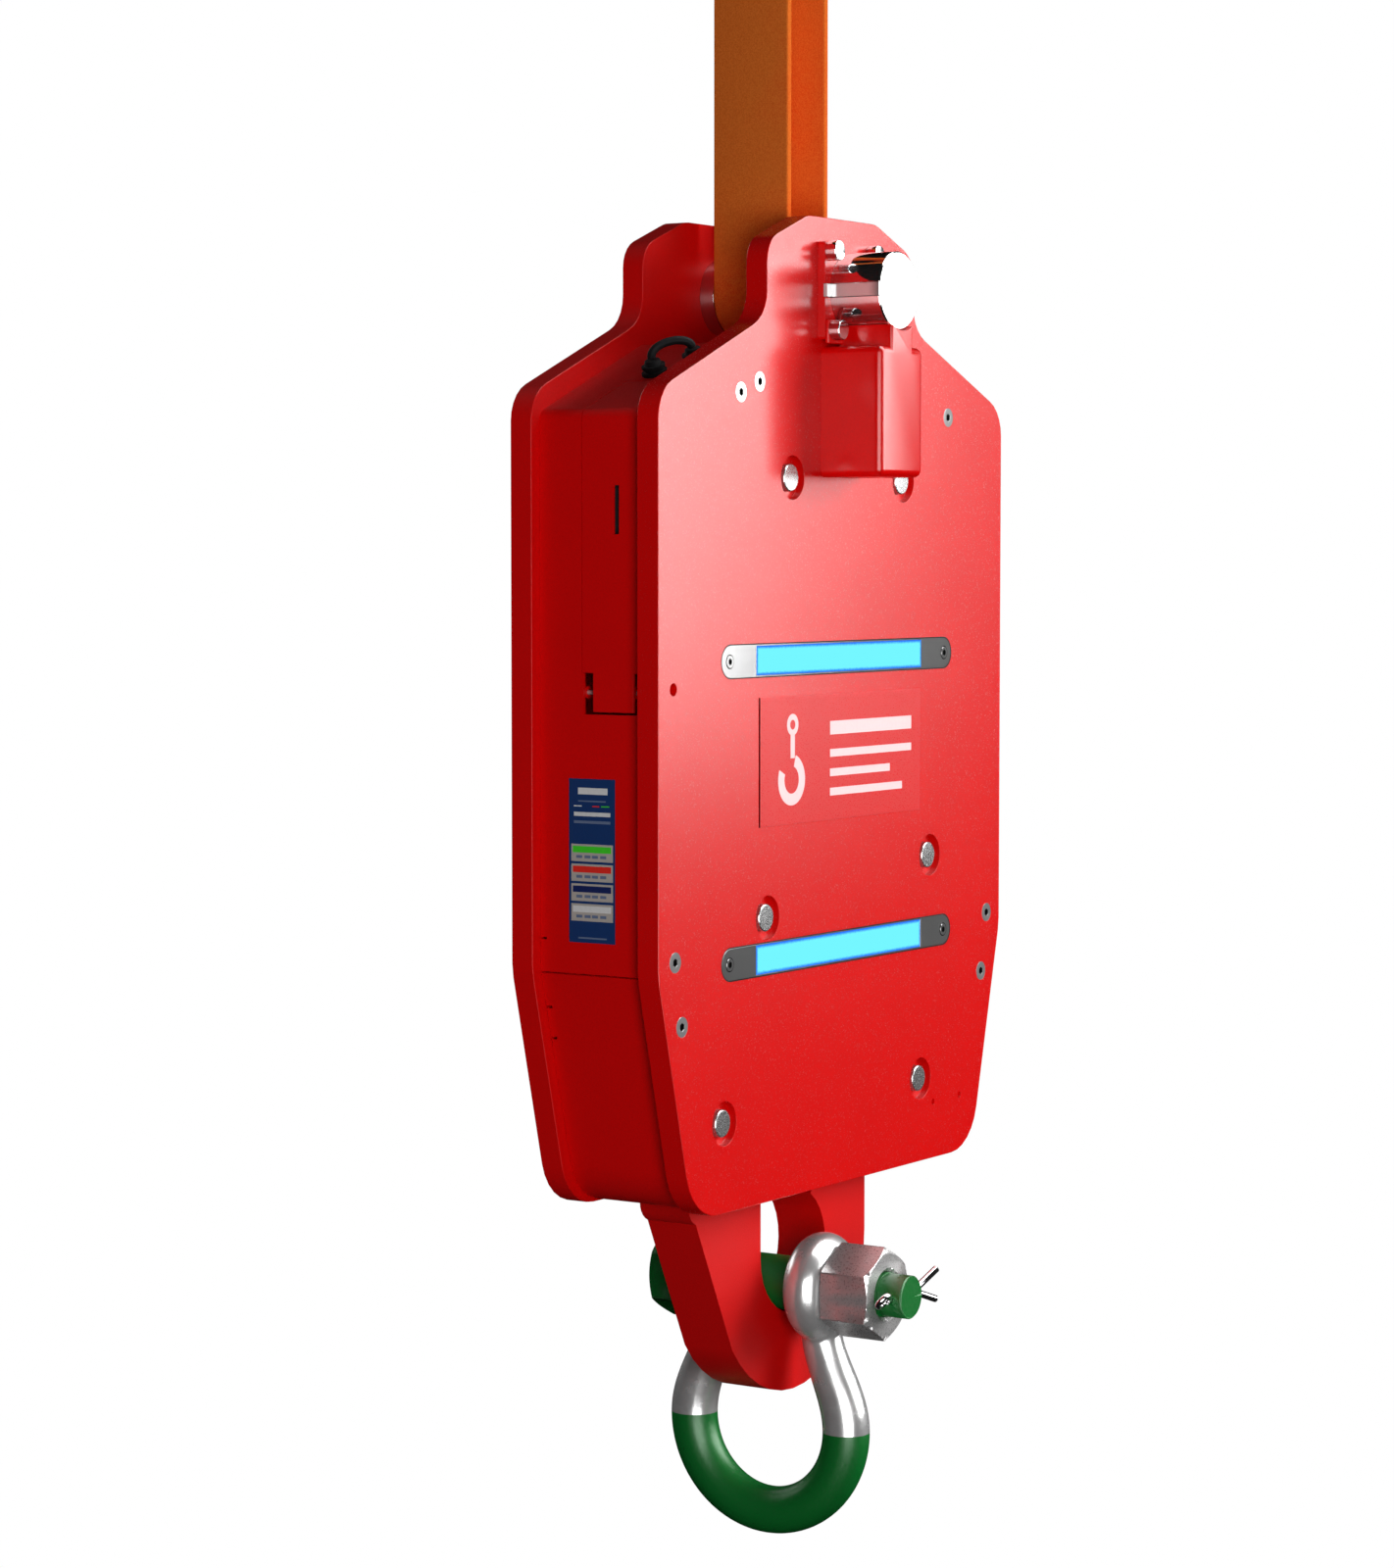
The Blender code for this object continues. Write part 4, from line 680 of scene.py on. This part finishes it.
def flange_bolts():
    """Cylinder-head bolts on the flange and on the box's lug."""
    chamfer = 0.8 * MM
    for number in range(1, 5):
        node = f"flange_bolt_{number}"
        low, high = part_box(node)
        centre = (low + high) / 2
        radius = (high.x - low.x) / 2
        head = low.y + BOLT_HEAD_THICK
        profile = [(low.y, 0), (low.y, radius - chamfer), (low.y + chamfer, radius), (head, radius),
                   (head, BOLT_SHANK_RADIUS), (high.y, BOLT_SHANK_RADIUS), (high.y, 0)]
        bolt = lathe(f"{node}_finished", profile, centre.x, centre.z, MIRROR, 64)
        round_edges(bolt, 0.3 * MM, 2)
        fit(bolt, "housing", "bright_steel", node)


def gauge_plug():
    """Domed plug in the pin's back end."""
    low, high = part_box("gauge_plug")
    rim = (high.x - low.x) / 2
    stem = PIN_BORE_RADIUS - 0.4 * MM
    seat = PIN_HIGH.y + GAP
    profile = [(low.y, 0), (low.y, stem), (seat, stem), (seat, rim), (high.y - MM, rim),
               (high.y - 0.3 * MM, rim - MM), (high.y, rim - 3 * MM), (high.y, 0)]
    plug = lathe("gauge_plug_finished", profile, 0, PIN_Z, PLASTIC, 48)
    round_edges(plug, 0.3 * MM, 2)
    fit(plug, "housing", "black_plastic", "gauge_plug")


# ---------------------------------------------------------------- light bars

def light_bars():
    """Status light bars: anodised housings with end screws, and their lit lenses."""
    for side, outward, plate_face in (("front", -1, FRONT_FACE), ("back", 1, BACK_FACE)):
        for level in ("upper", "lower"):
            light_bar(f"light_housing_{side}_{level}", f"light_lens_{side}_{level}", plate_face, outward)


def light_bar(housing_node, lens_node, plate_face, outward):
    """One light bar on a plate's face, which looks along outward times +Y."""
    low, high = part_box(housing_node)
    face = low.y if outward < 0 else high.y
    refined(housing_node, "housing", "grey_aluminium", CAP, 0.4 * MM, 2)
    screws = [end_screw(f"{housing_node}_screw_{number}", x, (low.z + high.z) / 2, face, outward)
              for number, x in enumerate((low.x + END_SCREW_INSET, high.x - END_SCREW_INSET), start=1)]
    gap_shade_seal = gap_shade_gasket(f"{housing_node}_seal", low, high, plate_face, outward)
    for screw in screws:
        fit(screw, "housing", "grey_aluminium")
    fit(gap_shade_seal, "housing", "black_rubber")
    low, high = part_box(lens_node)
    lens = block(f"{lens_node}_finished", low, high, lit_lens(f"{lens_node}_glow", low, high))
    round_edges(lens, 0.5 * MM, 2)
    fit(lens, "housing", "cyan_lens", lens_node)


def end_screw(name, x, z, face, outward):
    """Low socket screw in a light bar's end cap, set in a black ring and with a black socket, both painted
    shade.
    """
    top = face + outward * END_SCREW_PROUD
    base = face - outward * 2 * MM
    chamfer = 0.3 * MM
    profile = [(top, 0), (top, END_SCREW_RADIUS - chamfer), (top - outward * chamfer, END_SCREW_RADIUS),
               (base, END_SCREW_RADIUS), (base, 0)]
    screw = lathe(f"{name}_head", profile, x, z, CAP, 40)
    carve(screw, hexagon_socket("socket", x, z, top, 2 * MM, 3.5 * MM, outward))
    # Black ring round the screw head: painted shade of the gap round it.
    ring = rod(f"{name}_seat", face + outward * 0.1 * MM, base, END_SCREW_RADIUS + 0.9 * MM, x, z, PAINTED_SHADE, 40)
    piece = joined([screw, ring])
    piece.name = name
    return piece


def gap_shade_gasket(name, low, high, face, outward):
    """Thin black ring round a light bar: painted shade of the gap round the bar."""
    grow = Vector((GAP_SHADE_WIDTH, 0, GAP_SHADE_WIDTH))
    near, far = face + outward * GAP_SHADE_PROUD, face - outward * MM
    outer = prism(name, stadium(low - grow, high + grow), near, far, RUBBER)
    return carve(outer, prism("window", stadium(low, high), near + outward * MM, far - outward * MM, RUBBER))


# ---------------------------------------------------------------- hook and shackle

def hook_group():
    """Hook plate, bush, sector, spacers, pinion, pawl and drive."""
    refined("hook", "hook", "red_paint", SHADED_HOOK_RED, 1.0 * MM, 2)
    refined("hook_gear", "hook", "oiled_steel", DARK_STEEL, 0.3 * MM, 2)
    refined("drive_pinion", "pinion", "oiled_steel", DARK_STEEL, 0.3 * MM, 2)
    refined("lock_pawl", "pawl", "oiled_steel", DARK_STEEL, 0.6 * MM, 2)
    refined("hook_bush", "hook", "bronze", BRONZE, 0.3 * MM, 2)
    for node in ("hook_spacer_front", "hook_spacer_back"):
        refined(node, "housing", "oiled_steel", DARK_STEEL, 0.3 * MM, 2)
    for node in ("gear_motor", "pawl_actuator"):
        refined(node, "housing", "black_plastic", PLASTIC, 0.8 * MM, 2)


def electrics():
    """Battery, controller and boards behind the casing."""
    for node in ("battery_pack", "control_case", "control_lid"):
        refined(node, "housing", "black_plastic", PLASTIC, 1.0 * MM, 2)
    for node in ("control_board", "load_cell_board"):
        refined(node, "housing", "circuit_board", BOARD, 0.2 * MM, 1)
    refined("door_hinge_pin", "housing", "bright_steel", STEEL, 0.3 * MM, 2)


# ---------------------------------------------------------------- sling and cable


def sling_path():
    """Points round the sling's middle line with outward directions and running length."""
    radius = SLING_RADIUS + SLING_THICK / 2
    upper = Vector((0, 0, -SLING_RADIUS))
    lower = Vector((0, 0, PIN_Z))
    turn_steps, leg_steps = 48, 80
    path = []
    for centre, start in ((lower, math.pi), (upper, 0.0)):
        for step in range(turn_steps + 1):
            angle = start + math.pi * step / turn_steps
            out = Vector((math.cos(angle), 0, math.sin(angle)))
            path.append((centre + out * radius, out))
        leg = upper - lower if centre == lower else lower - upper
        path += [(path[-1][0] + leg * step / leg_steps, path[-1][1]) for step in range(1, leg_steps)]
    return path


def sling_section():
    """Rounded-corner cross-section of the strap as (across, outward) offsets."""
    section = []
    for start, (side, face) in enumerate(((1, 1), (-1, 1), (-1, -1), (1, -1))):
        centre = (side * (SLING_HALF - SLING_EDGE), face * (SLING_THICK / 2 - SLING_EDGE))
        for step in range(5):
            angle = math.pi / 2 * (start + step / 4)
            section.append((centre[0] + SLING_EDGE * math.cos(angle),
                            centre[1] + SLING_EDGE * math.sin(angle)))
    return section


def sling():
    """Endless webbing sling with soft selvedges, woven in running length and width."""
    section = sling_section()
    around = [0.0]
    for first, second in zip(section, section[1:] + section[:1]):
        around.append(around[-1] + math.dist(first, second))
    body = bmesh.new()
    weave = body.loops.layers.uv.new("weave")
    path = sling_path()
    rows = [[body.verts.new((point.x + out.x * off, across, point.z + out.z * off))
             for across, off in section] for point, out in path]
    length = 0.0
    for index, row in enumerate(rows):
        after = rows[(index + 1) % len(rows)]
        reach = (path[(index + 1) % len(path)][0] - path[index][0]).length
        for side in range(len(section)):
            corner = (side + 1) % len(section)
            face = body.faces.new((row[side], row[corner], after[corner], after[side]))
            for loop, u, v in zip(face.loops, (length, length, length + reach, length + reach),
                                  (around[side], around[side + 1], around[side + 1], around[side])):
                loop[weave].uv = (u, v)
        length += reach
    bmesh.ops.recalc_face_normals(body, faces=body.faces)
    piece = smooth(made_of("sling_webbing", body, STRAP), 60)
    fit(piece, "sling", "orange_webbing", "webbing_sling")


def glands_and_cable():
    """Ribbed rubber glands on the roof and the short cable between them."""
    for node in ("roof_gland_1", "roof_gland_2", "gauge_cable"):
        refined(node, "housing", "black_rubber", RUBBER, 0.5 * MM, 2)


# ---------------------------------------------------------------- shackle


def bow_route():
    """Centre line of the bow and its swell, from the back eye round the crown to the front eye."""
    eye_y = (EYE_NEAR + EYE_FAR) / 2 - MM
    steps = 24
    leg, swell = [], []
    for step in range(steps):
        drop = LEG_START + (CROWN_DROP - LEG_START) * step / steps
        along = max(0, (drop - FLARE_START) / (CROWN_DROP - FLARE_START))
        ease = (1 - math.cos(math.pi * along)) / 2
        leg.append((0, eye_y + (CROWN_RADIUS - eye_y) * ease, SHACKLE_Z - drop))
        swell.append(NECK_SCALE + (1 - NECK_SCALE) * ease)
    crown = [(0, CROWN_RADIUS * math.cos(math.pi * step / 64),
              SHACKLE_Z - CROWN_DROP - CROWN_RADIUS * math.sin(math.pi * step / 64)) for step in range(65)]
    far_leg = [(x, -y, z) for x, y, z in reversed(leg)]
    return leg + crown + far_leg, swell + [1.0] * len(crown) + swell[::-1]


def eye(name, side):
    """Rounded eye of the bow."""
    half = (EYE_FAR - EYE_NEAR) / 2
    centre = side * (EYE_NEAR + EYE_FAR) / 2
    core = EYE_RADIUS - half
    angles = [math.pi * (step / 24 - 0.5) for step in range(25)]
    rim = [(centre + half * math.sin(angle), core + half * math.cos(angle)) for angle in angles]
    return lathe(name, [(rim[0][0], 0), *rim, (rim[-1][0], 0)], 0, SHACKLE_Z, ZINC, 72)


def bow():
    """Forged bow whose eyes flow into its legs: zinc above, green paint round the crown."""
    route, swell = bow_route()
    piece = tube("bow_zinc", route, TUBE_RADIUS, ZINC, 10, swell)
    carve(piece, eye("eye_front", -1), eye("eye_back", 1), operation="UNION")
    remesh = piece.modifiers.new("skin", "REMESH")
    remesh.mode = "VOXEL"
    remesh.voxel_size = 2.2 * MM
    ease = piece.modifiers.new("blend", "SMOOTH")
    ease.factor = 0.5
    ease.iterations = 10
    baked(piece)
    reach = EYE_FAR + 5 * MM
    jaw = rod("jaw", -EYE_NEAR, EYE_NEAR, EYE_RADIUS + 6 * MM, 0, SHACKLE_Z, ZINC, 48)
    bore = rod("eye_bore", -reach, reach, PIN_RADIUS + 0.4 * MM, 0, SHACKLE_Z, ZINC, 72)
    carve(piece, jaw, bore)
    whole = bmesh.new()
    whole.from_mesh(piece.data)
    painted = whole.copy()
    for half, above in ((whole, False), (painted, True)):
        bmesh.ops.bisect_plane(half, geom=half.verts[:] + half.edges[:] + half.faces[:],
                               plane_co=(0, 0, PAINT_LINE), plane_no=(0, 0, 1),
                               clear_outer=above, clear_inner=not above)
    whole.to_mesh(piece.data)
    whole.free()
    crown = made_of("bow_green", painted, GREEN)
    for part, slot in ((piece, "galvanised"), (crown, "green_paint")):
        smooth(part, 40)
        fit(part, "shackle", slot, "shackle_bow")


def hexagon_body(name, near, far, chamfer_near, chamfer_far, material):
    """Hexagon bar on the shackle's axis with turned chamfers on its end corners."""
    piece = prism(name, circle(0, SHACKLE_Z, NUT_HALF_CORNERS, 6, math.pi / 6), near, far, material)
    flat = NUT_HALF_CORNERS * math.cos(math.pi / 6)
    wide = NUT_HALF_CORNERS + 2 * MM
    envelope = lathe("chamfer", [(near - MM, 0), (near - MM, flat - 2 * MM), (near, flat - MM),
                                 (near + chamfer_near, wide), (far - chamfer_far, wide),
                                 (far, flat - MM), (far + MM, flat - 2 * MM), (far + MM, 0)],
                     0, SHACKLE_Z, material, 96)
    return carve(piece, envelope, operation="INTERSECT")


def shackle_pin():
    """Bolt with its hexagon head, plain stub and drilled end."""
    stub_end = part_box("shackle_pin")[0].y
    chamfer = 1.5 * MM
    thread = THREAD_RADIUS - 0.8 * MM
    far = EYE_FAR + HEAD_THICK - 4 * MM
    profile = [(stub_end, 0), (stub_end, STUB_RADIUS - chamfer), (stub_end + chamfer, STUB_RADIUS),
               (NUT_NEAR, STUB_RADIUS), (NUT_NEAR, thread), (-EYE_FAR, thread), (-EYE_FAR, PIN_RADIUS),
               (far, PIN_RADIUS), (far, 0)]
    pin = lathe("shackle_pin_finished", profile, 0, SHACKLE_Z, GREEN, 96)
    head = hexagon_body("pin_head", EYE_FAR + GAP, EYE_FAR + HEAD_THICK, 2 * MM, 5 * MM, GREEN)
    carve(pin, head, operation="UNION")
    hole = rod("hole", -30 * MM, 30 * MM, COTTER_HOLE_RADIUS, 0, 0, GREEN, 32)
    hole.data.transform(Matrix.Translation((0, COTTER_Y, SHACKLE_Z)) @ Matrix.Rotation(math.pi / 2, 4, "Z"))
    carve(pin, hole)
    round_edges(pin, 0.6 * MM, 2)
    fit(pin, "shackle", "green_paint", "shackle_pin")


def shackle_nut():
    """Hexagon nut with a countersunk mouth."""
    nut = hexagon_body("shackle_nut_finished", NUT_NEAR, -EYE_FAR - GAP, 5 * MM, 2 * MM, NUT_GREY)
    profile = [(NUT_NEAR - 3 * MM, 0), (NUT_NEAR - 3 * MM, THREAD_RADIUS + 7 * MM),
               (NUT_NEAR + 4 * MM, THREAD_RADIUS), (-EYE_FAR + MM, THREAD_RADIUS), (-EYE_FAR + MM, 0)]
    carve(nut, lathe("nut_bore", profile, 0, SHACKLE_Z, NUT_GREY, 96))
    round_edges(nut, 0.8 * MM, 3)
    fit(nut, "shackle", "galvanised", "shackle_nut")


def cotter():
    """Split pin: a tilted round eye at the left and two bent prongs at the right."""
    y, z = COTTER_Y, SHACKLE_Z
    shank = tube("cotter_shank", [(-28 * MM, y, z), (28 * MM, y, z)], COTTER_SHANK_RADIUS, MIRROR, 6)
    loop = []
    for step in range(49):
        angle = math.tau * step / 48
        rise = COTTER_EYE_RADIUS * math.sin(angle)
        loop.append((COTTER_EYE_X + COTTER_EYE_RADIUS * math.cos(angle),
                     y - rise * math.cos(COTTER_TILT), z + rise * math.sin(COTTER_TILT)))
    ring = tube("cotter_eye", loop, 3 * MM, MIRROR, 6)
    prongs = []
    for name, ends in (("prong_up", ((26, 0, 1), (35, -1, 4), (61, -9, 20))),
                       ("prong_out", ((26, 0, -1), (35, -1, -2), (61, -8, -12)))):
        first, bend, last = (Vector((dx * MM, y + dy * MM, z + dz * MM)) for dx, dy, dz in ends)
        knee = [first.lerp(bend, t).lerp(bend.lerp(last, t * 0.4), t)
                for t in (step / 8 for step in range(9))]
        prongs.append(tube(name, [*knee, last], 3.7 * MM, MIRROR, 5))
    piece = joined([shank, ring, *prongs])
    piece.name = "shackle_cotter_finished"
    fit(piece, "shackle", "galvanised", "shackle_cotter")


# ---------------------------------------------------------------- panel and label


def mark_panel():
    """Thin red panel on the front plate with a plain hook pictogram and rules."""
    face = FRONT_FACE - PANEL_THICK
    sunk = FRONT_FACE + 0.2 * MM
    panel = block("mark_panel", (PANEL_LOW.x, face, PANEL_LOW.z),
                  (PANEL_HIGH.x, sunk, PANEL_HIGH.z), PANEL_RED)
    round_edges(panel, 0.3 * MM, 2)
    fit(panel, "housing", "red_paint")
    near = face - INK_THICK
    x, z = PANEL_LOW.x + 62 * MM, (PANEL_LOW.z + PANEL_HIGH.z) / 2
    shapes = [ring_of("mark_eye", x, z + 36 * MM, 11 * MM, 5 * MM, 0, 360, near, face),
              block("mark_shank", (x - 4 * MM, near, z + 2 * MM), (x + 4 * MM, face, z + 27 * MM), INK_WHITE),
              ring_of("mark_hook", x - 2 * MM, z - 20 * MM, 26 * MM, 14 * MM, -205, 72, near, face)]
    rules = ((0.42, 0.94, 30, 14), (0.42, 0.94, 4, 8), (0.42, 0.80, -16, 8), (0.42, 0.88, -36, 8))
    span = PANEL_HIGH.x - PANEL_LOW.x
    for number, (start, stop, height, thick) in enumerate(rules):
        low = (PANEL_LOW.x + start * span, near, z + (height - thick / 2) * MM)
        high = (PANEL_LOW.x + stop * span, face, z + (height + thick / 2) * MM)
        shapes.append(block(f"mark_rule_{number}", low, high, INK_WHITE))
    mark = joined(shapes)
    mark.name = "panel_mark"
    # Black strip along the panel's left edge: painted shade of its raised edge.
    edge = block("panel_edge", (PANEL_LOW.x - MM, face, PANEL_LOW.z),
                 (PANEL_LOW.x - 0.1 * MM, sunk, PANEL_HIGH.z), PAINTED_SHADE)
    fit(edge, "housing", "black_rubber")
    fit(mark, "housing", "label_film")


def ring_of(name, x, z, outer, inner, start, stop, near, far):
    """Flat arc of a ring between two angles in degrees."""
    count = max(8, int(abs(stop - start) / 6))
    angles = [math.radians(start + (stop - start) * step / count) for step in range(count + 1)]
    body = bmesh.new()
    rows = []
    for angle in angles:
        places = [(x + r * math.cos(angle), y, z + r * math.sin(angle))
                  for r, y in ((inner, near), (outer, near), (outer, far), (inner, far))]
        rows.append([body.verts.new(place) for place in places])
    for first, second in zip(rows, rows[1:]):
        for side in range(4):
            after = (side + 1) % 4
            body.faces.new((first[side], first[after], second[after], second[side]))
    body.faces.new(rows[0])
    body.faces.new(rows[-1])
    bmesh.ops.remove_doubles(body, verts=body.verts, dist=1e-6)
    bmesh.ops.recalc_face_normals(body, faces=body.faces)
    return made_of(name, body, INK_WHITE)


def label_patch(name, left, right, top, bottom, lift, material):
    """Printed patch on the left wall from fractions of the label's width and height."""
    low, high = LABEL_LOW, LABEL_HIGH
    wide, tall = high.y - low.y, high.z - low.z
    outer = WALL_X - lift
    return block(name, (outer, high.y - right * wide, high.z - bottom * tall),
                 (WALL_X + 0.1 * MM, high.y - left * wide, high.z - top * tall), material)


def side_label():
    """Blue status label with plain coloured fields and rules."""
    inks = {"green": INK_GREEN, "red": INK_RED, "navy": INK_NAVY, "white": INK_GREY}
    film, ink, raised = 0.30 * MM, 0.36 * MM, 0.42 * MM
    patches = [label_patch("label_film", 0, 1, 0, 1, film, INK_BLUE),
               label_patch("heading", 0.20, 0.84, 0.055, 0.095, ink, INK_GREY),
               label_patch("heading_rule", 0.20, 0.80, 0.132, 0.140, ink, INK_STEEL),
               label_patch("title", 0.11, 0.90, 0.203, 0.228, ink, INK_GREY),
               label_patch("subtitle", 0.11, 0.90, 0.255, 0.272, ink, INK_STEEL),
               label_patch("foot", 0.20, 0.82, 0.966, 0.976, ink, INK_STEEL)]
    for left, right, material in ((0.11, 0.28, INK_GREY), (0.51, 0.66, INK_RED), (0.70, 0.88, INK_GREEN)):
        patches.append(label_patch("dash", left, right, 0.163, 0.170, ink, material))
    for top, colour in LABEL_FIELDS:
        patches.append(label_patch("field", 0.05, 0.955, top, top + 0.106, ink, INK_BEIGE))
        patches.append(label_patch("strip", 0.085, 0.915, top + 0.013, top + 0.052, raised, inks[colour]))
        for start in (0.16, 0.34, 0.50, 0.68):
            patches.append(label_patch("rule", start, start + 0.13, top + 0.068, top + 0.086, raised,
                                       INK_STEEL))
    label = joined(patches)
    label.name = "status_label"
    fit(label, "housing", "label_film")


# ---------------------------------------------------------------- stage

def room_and_floor():
    """Pale room and a pale floor far below the hanging object."""
    glow = glow_material("pale_room", 1.0)
    shell = bmesh.new()
    bmesh.ops.create_uvsphere(shell, u_segments=48, v_segments=24, radius=ROOM_RADIUS)
    bmesh.ops.reverse_faces(shell, faces=shell.faces)
    room = made_of("pale_room", shell, glow)
    room.location = (0, 0, -0.8)
    disc = bmesh.new()
    bmesh.ops.create_circle(disc, cap_ends=True, segments=96, radius=FLOOR_RADIUS)
    bmesh.ops.translate(disc, vec=(0, 0, FLOOR_HEIGHT), verts=disc.verts)
    floor = made_of("pale_floor", disc, glow)
    for piece in (room, floor):
        for seen_by in ("diffuse", "glossy", "transmission", "shadow", "volume_scatter"):
            setattr(piece, f"visible_{seen_by}", False)


def soft_box(name, place, target, width, height, radiance, rays):
    """Rectangular light that only diffuse or only glossy rays see."""
    light = bpy.data.lights.new(name, "AREA")
    light.shape = "RECTANGLE"
    light.size = width
    light.size_y = height
    light.energy = radiance * math.pi * width * height
    lamp = bpy.data.objects.new(name, light)
    lamp.location = place
    lamp.rotation_euler = (Vector(target) - Vector(place)).to_track_quat("-Z", "Y").to_euler()
    lamp.visible_camera = False
    lamp.visible_diffuse = rays == "diffuse"
    lamp.visible_glossy = rays == "glossy"
    bpy.context.scene.collection.objects.link(lamp)


def room_light():
    """Faint even light, left out of reflections."""
    world = bpy.data.worlds.new("room_light")
    world.use_nodes = True
    background = world.node_tree.nodes["Background"]
    background.inputs["Strength"].default_value = ROOM_LIGHT
    background.inputs["Color"].default_value = (1, 1, 1, 1)
    bpy.context.scene.world = world
    world.cycles_visibility.glossy = False
    bpy.context.scene.view_settings.view_transform = "Standard"


def glow_material(name, strength):
    """Plain white emission."""
    material = bpy.data.materials.new(name)
    material.use_nodes = True
    tree = material.node_tree
    tree.nodes.clear()
    glow = add(tree, "ShaderNodeEmission", {"Color": (1, 1, 1, 1), "Strength": strength})
    output = add(tree, "ShaderNodeOutputMaterial", {"Surface": glow.outputs[0]})
    output.is_active_output = True
    return material


def camera():
    """The picture's own view."""
    data = bpy.data.cameras.new("camera")
    data.lens = CAMERA_LENS
    data.sensor_width = 36
    seen_from = bpy.data.objects.new("camera", data)
    seen_from.location = CAMERA_PLACE
    aim = Vector(CAMERA_TARGET) - Vector(CAMERA_PLACE)
    seen_from.rotation_euler = aim.to_track_quat("-Z", "Y").to_euler()
    bpy.context.scene.collection.objects.link(seen_from)
    bpy.context.scene.camera = seen_from


camera()
room_and_floor()
for box_name, settings in SOFT_BOXES.items():
    soft_box(box_name, *settings)
room_light()
plates_and_casing()
load_cell_box()
plate_screws()
through_bars()
load_pin()
flange_bolts()
gauge_plug()
light_bars()
hook_group()
electrics()
sling()
glands_and_cable()
bow()
shackle_pin()
shackle_nut()
cotter()
mark_panel()
side_label()
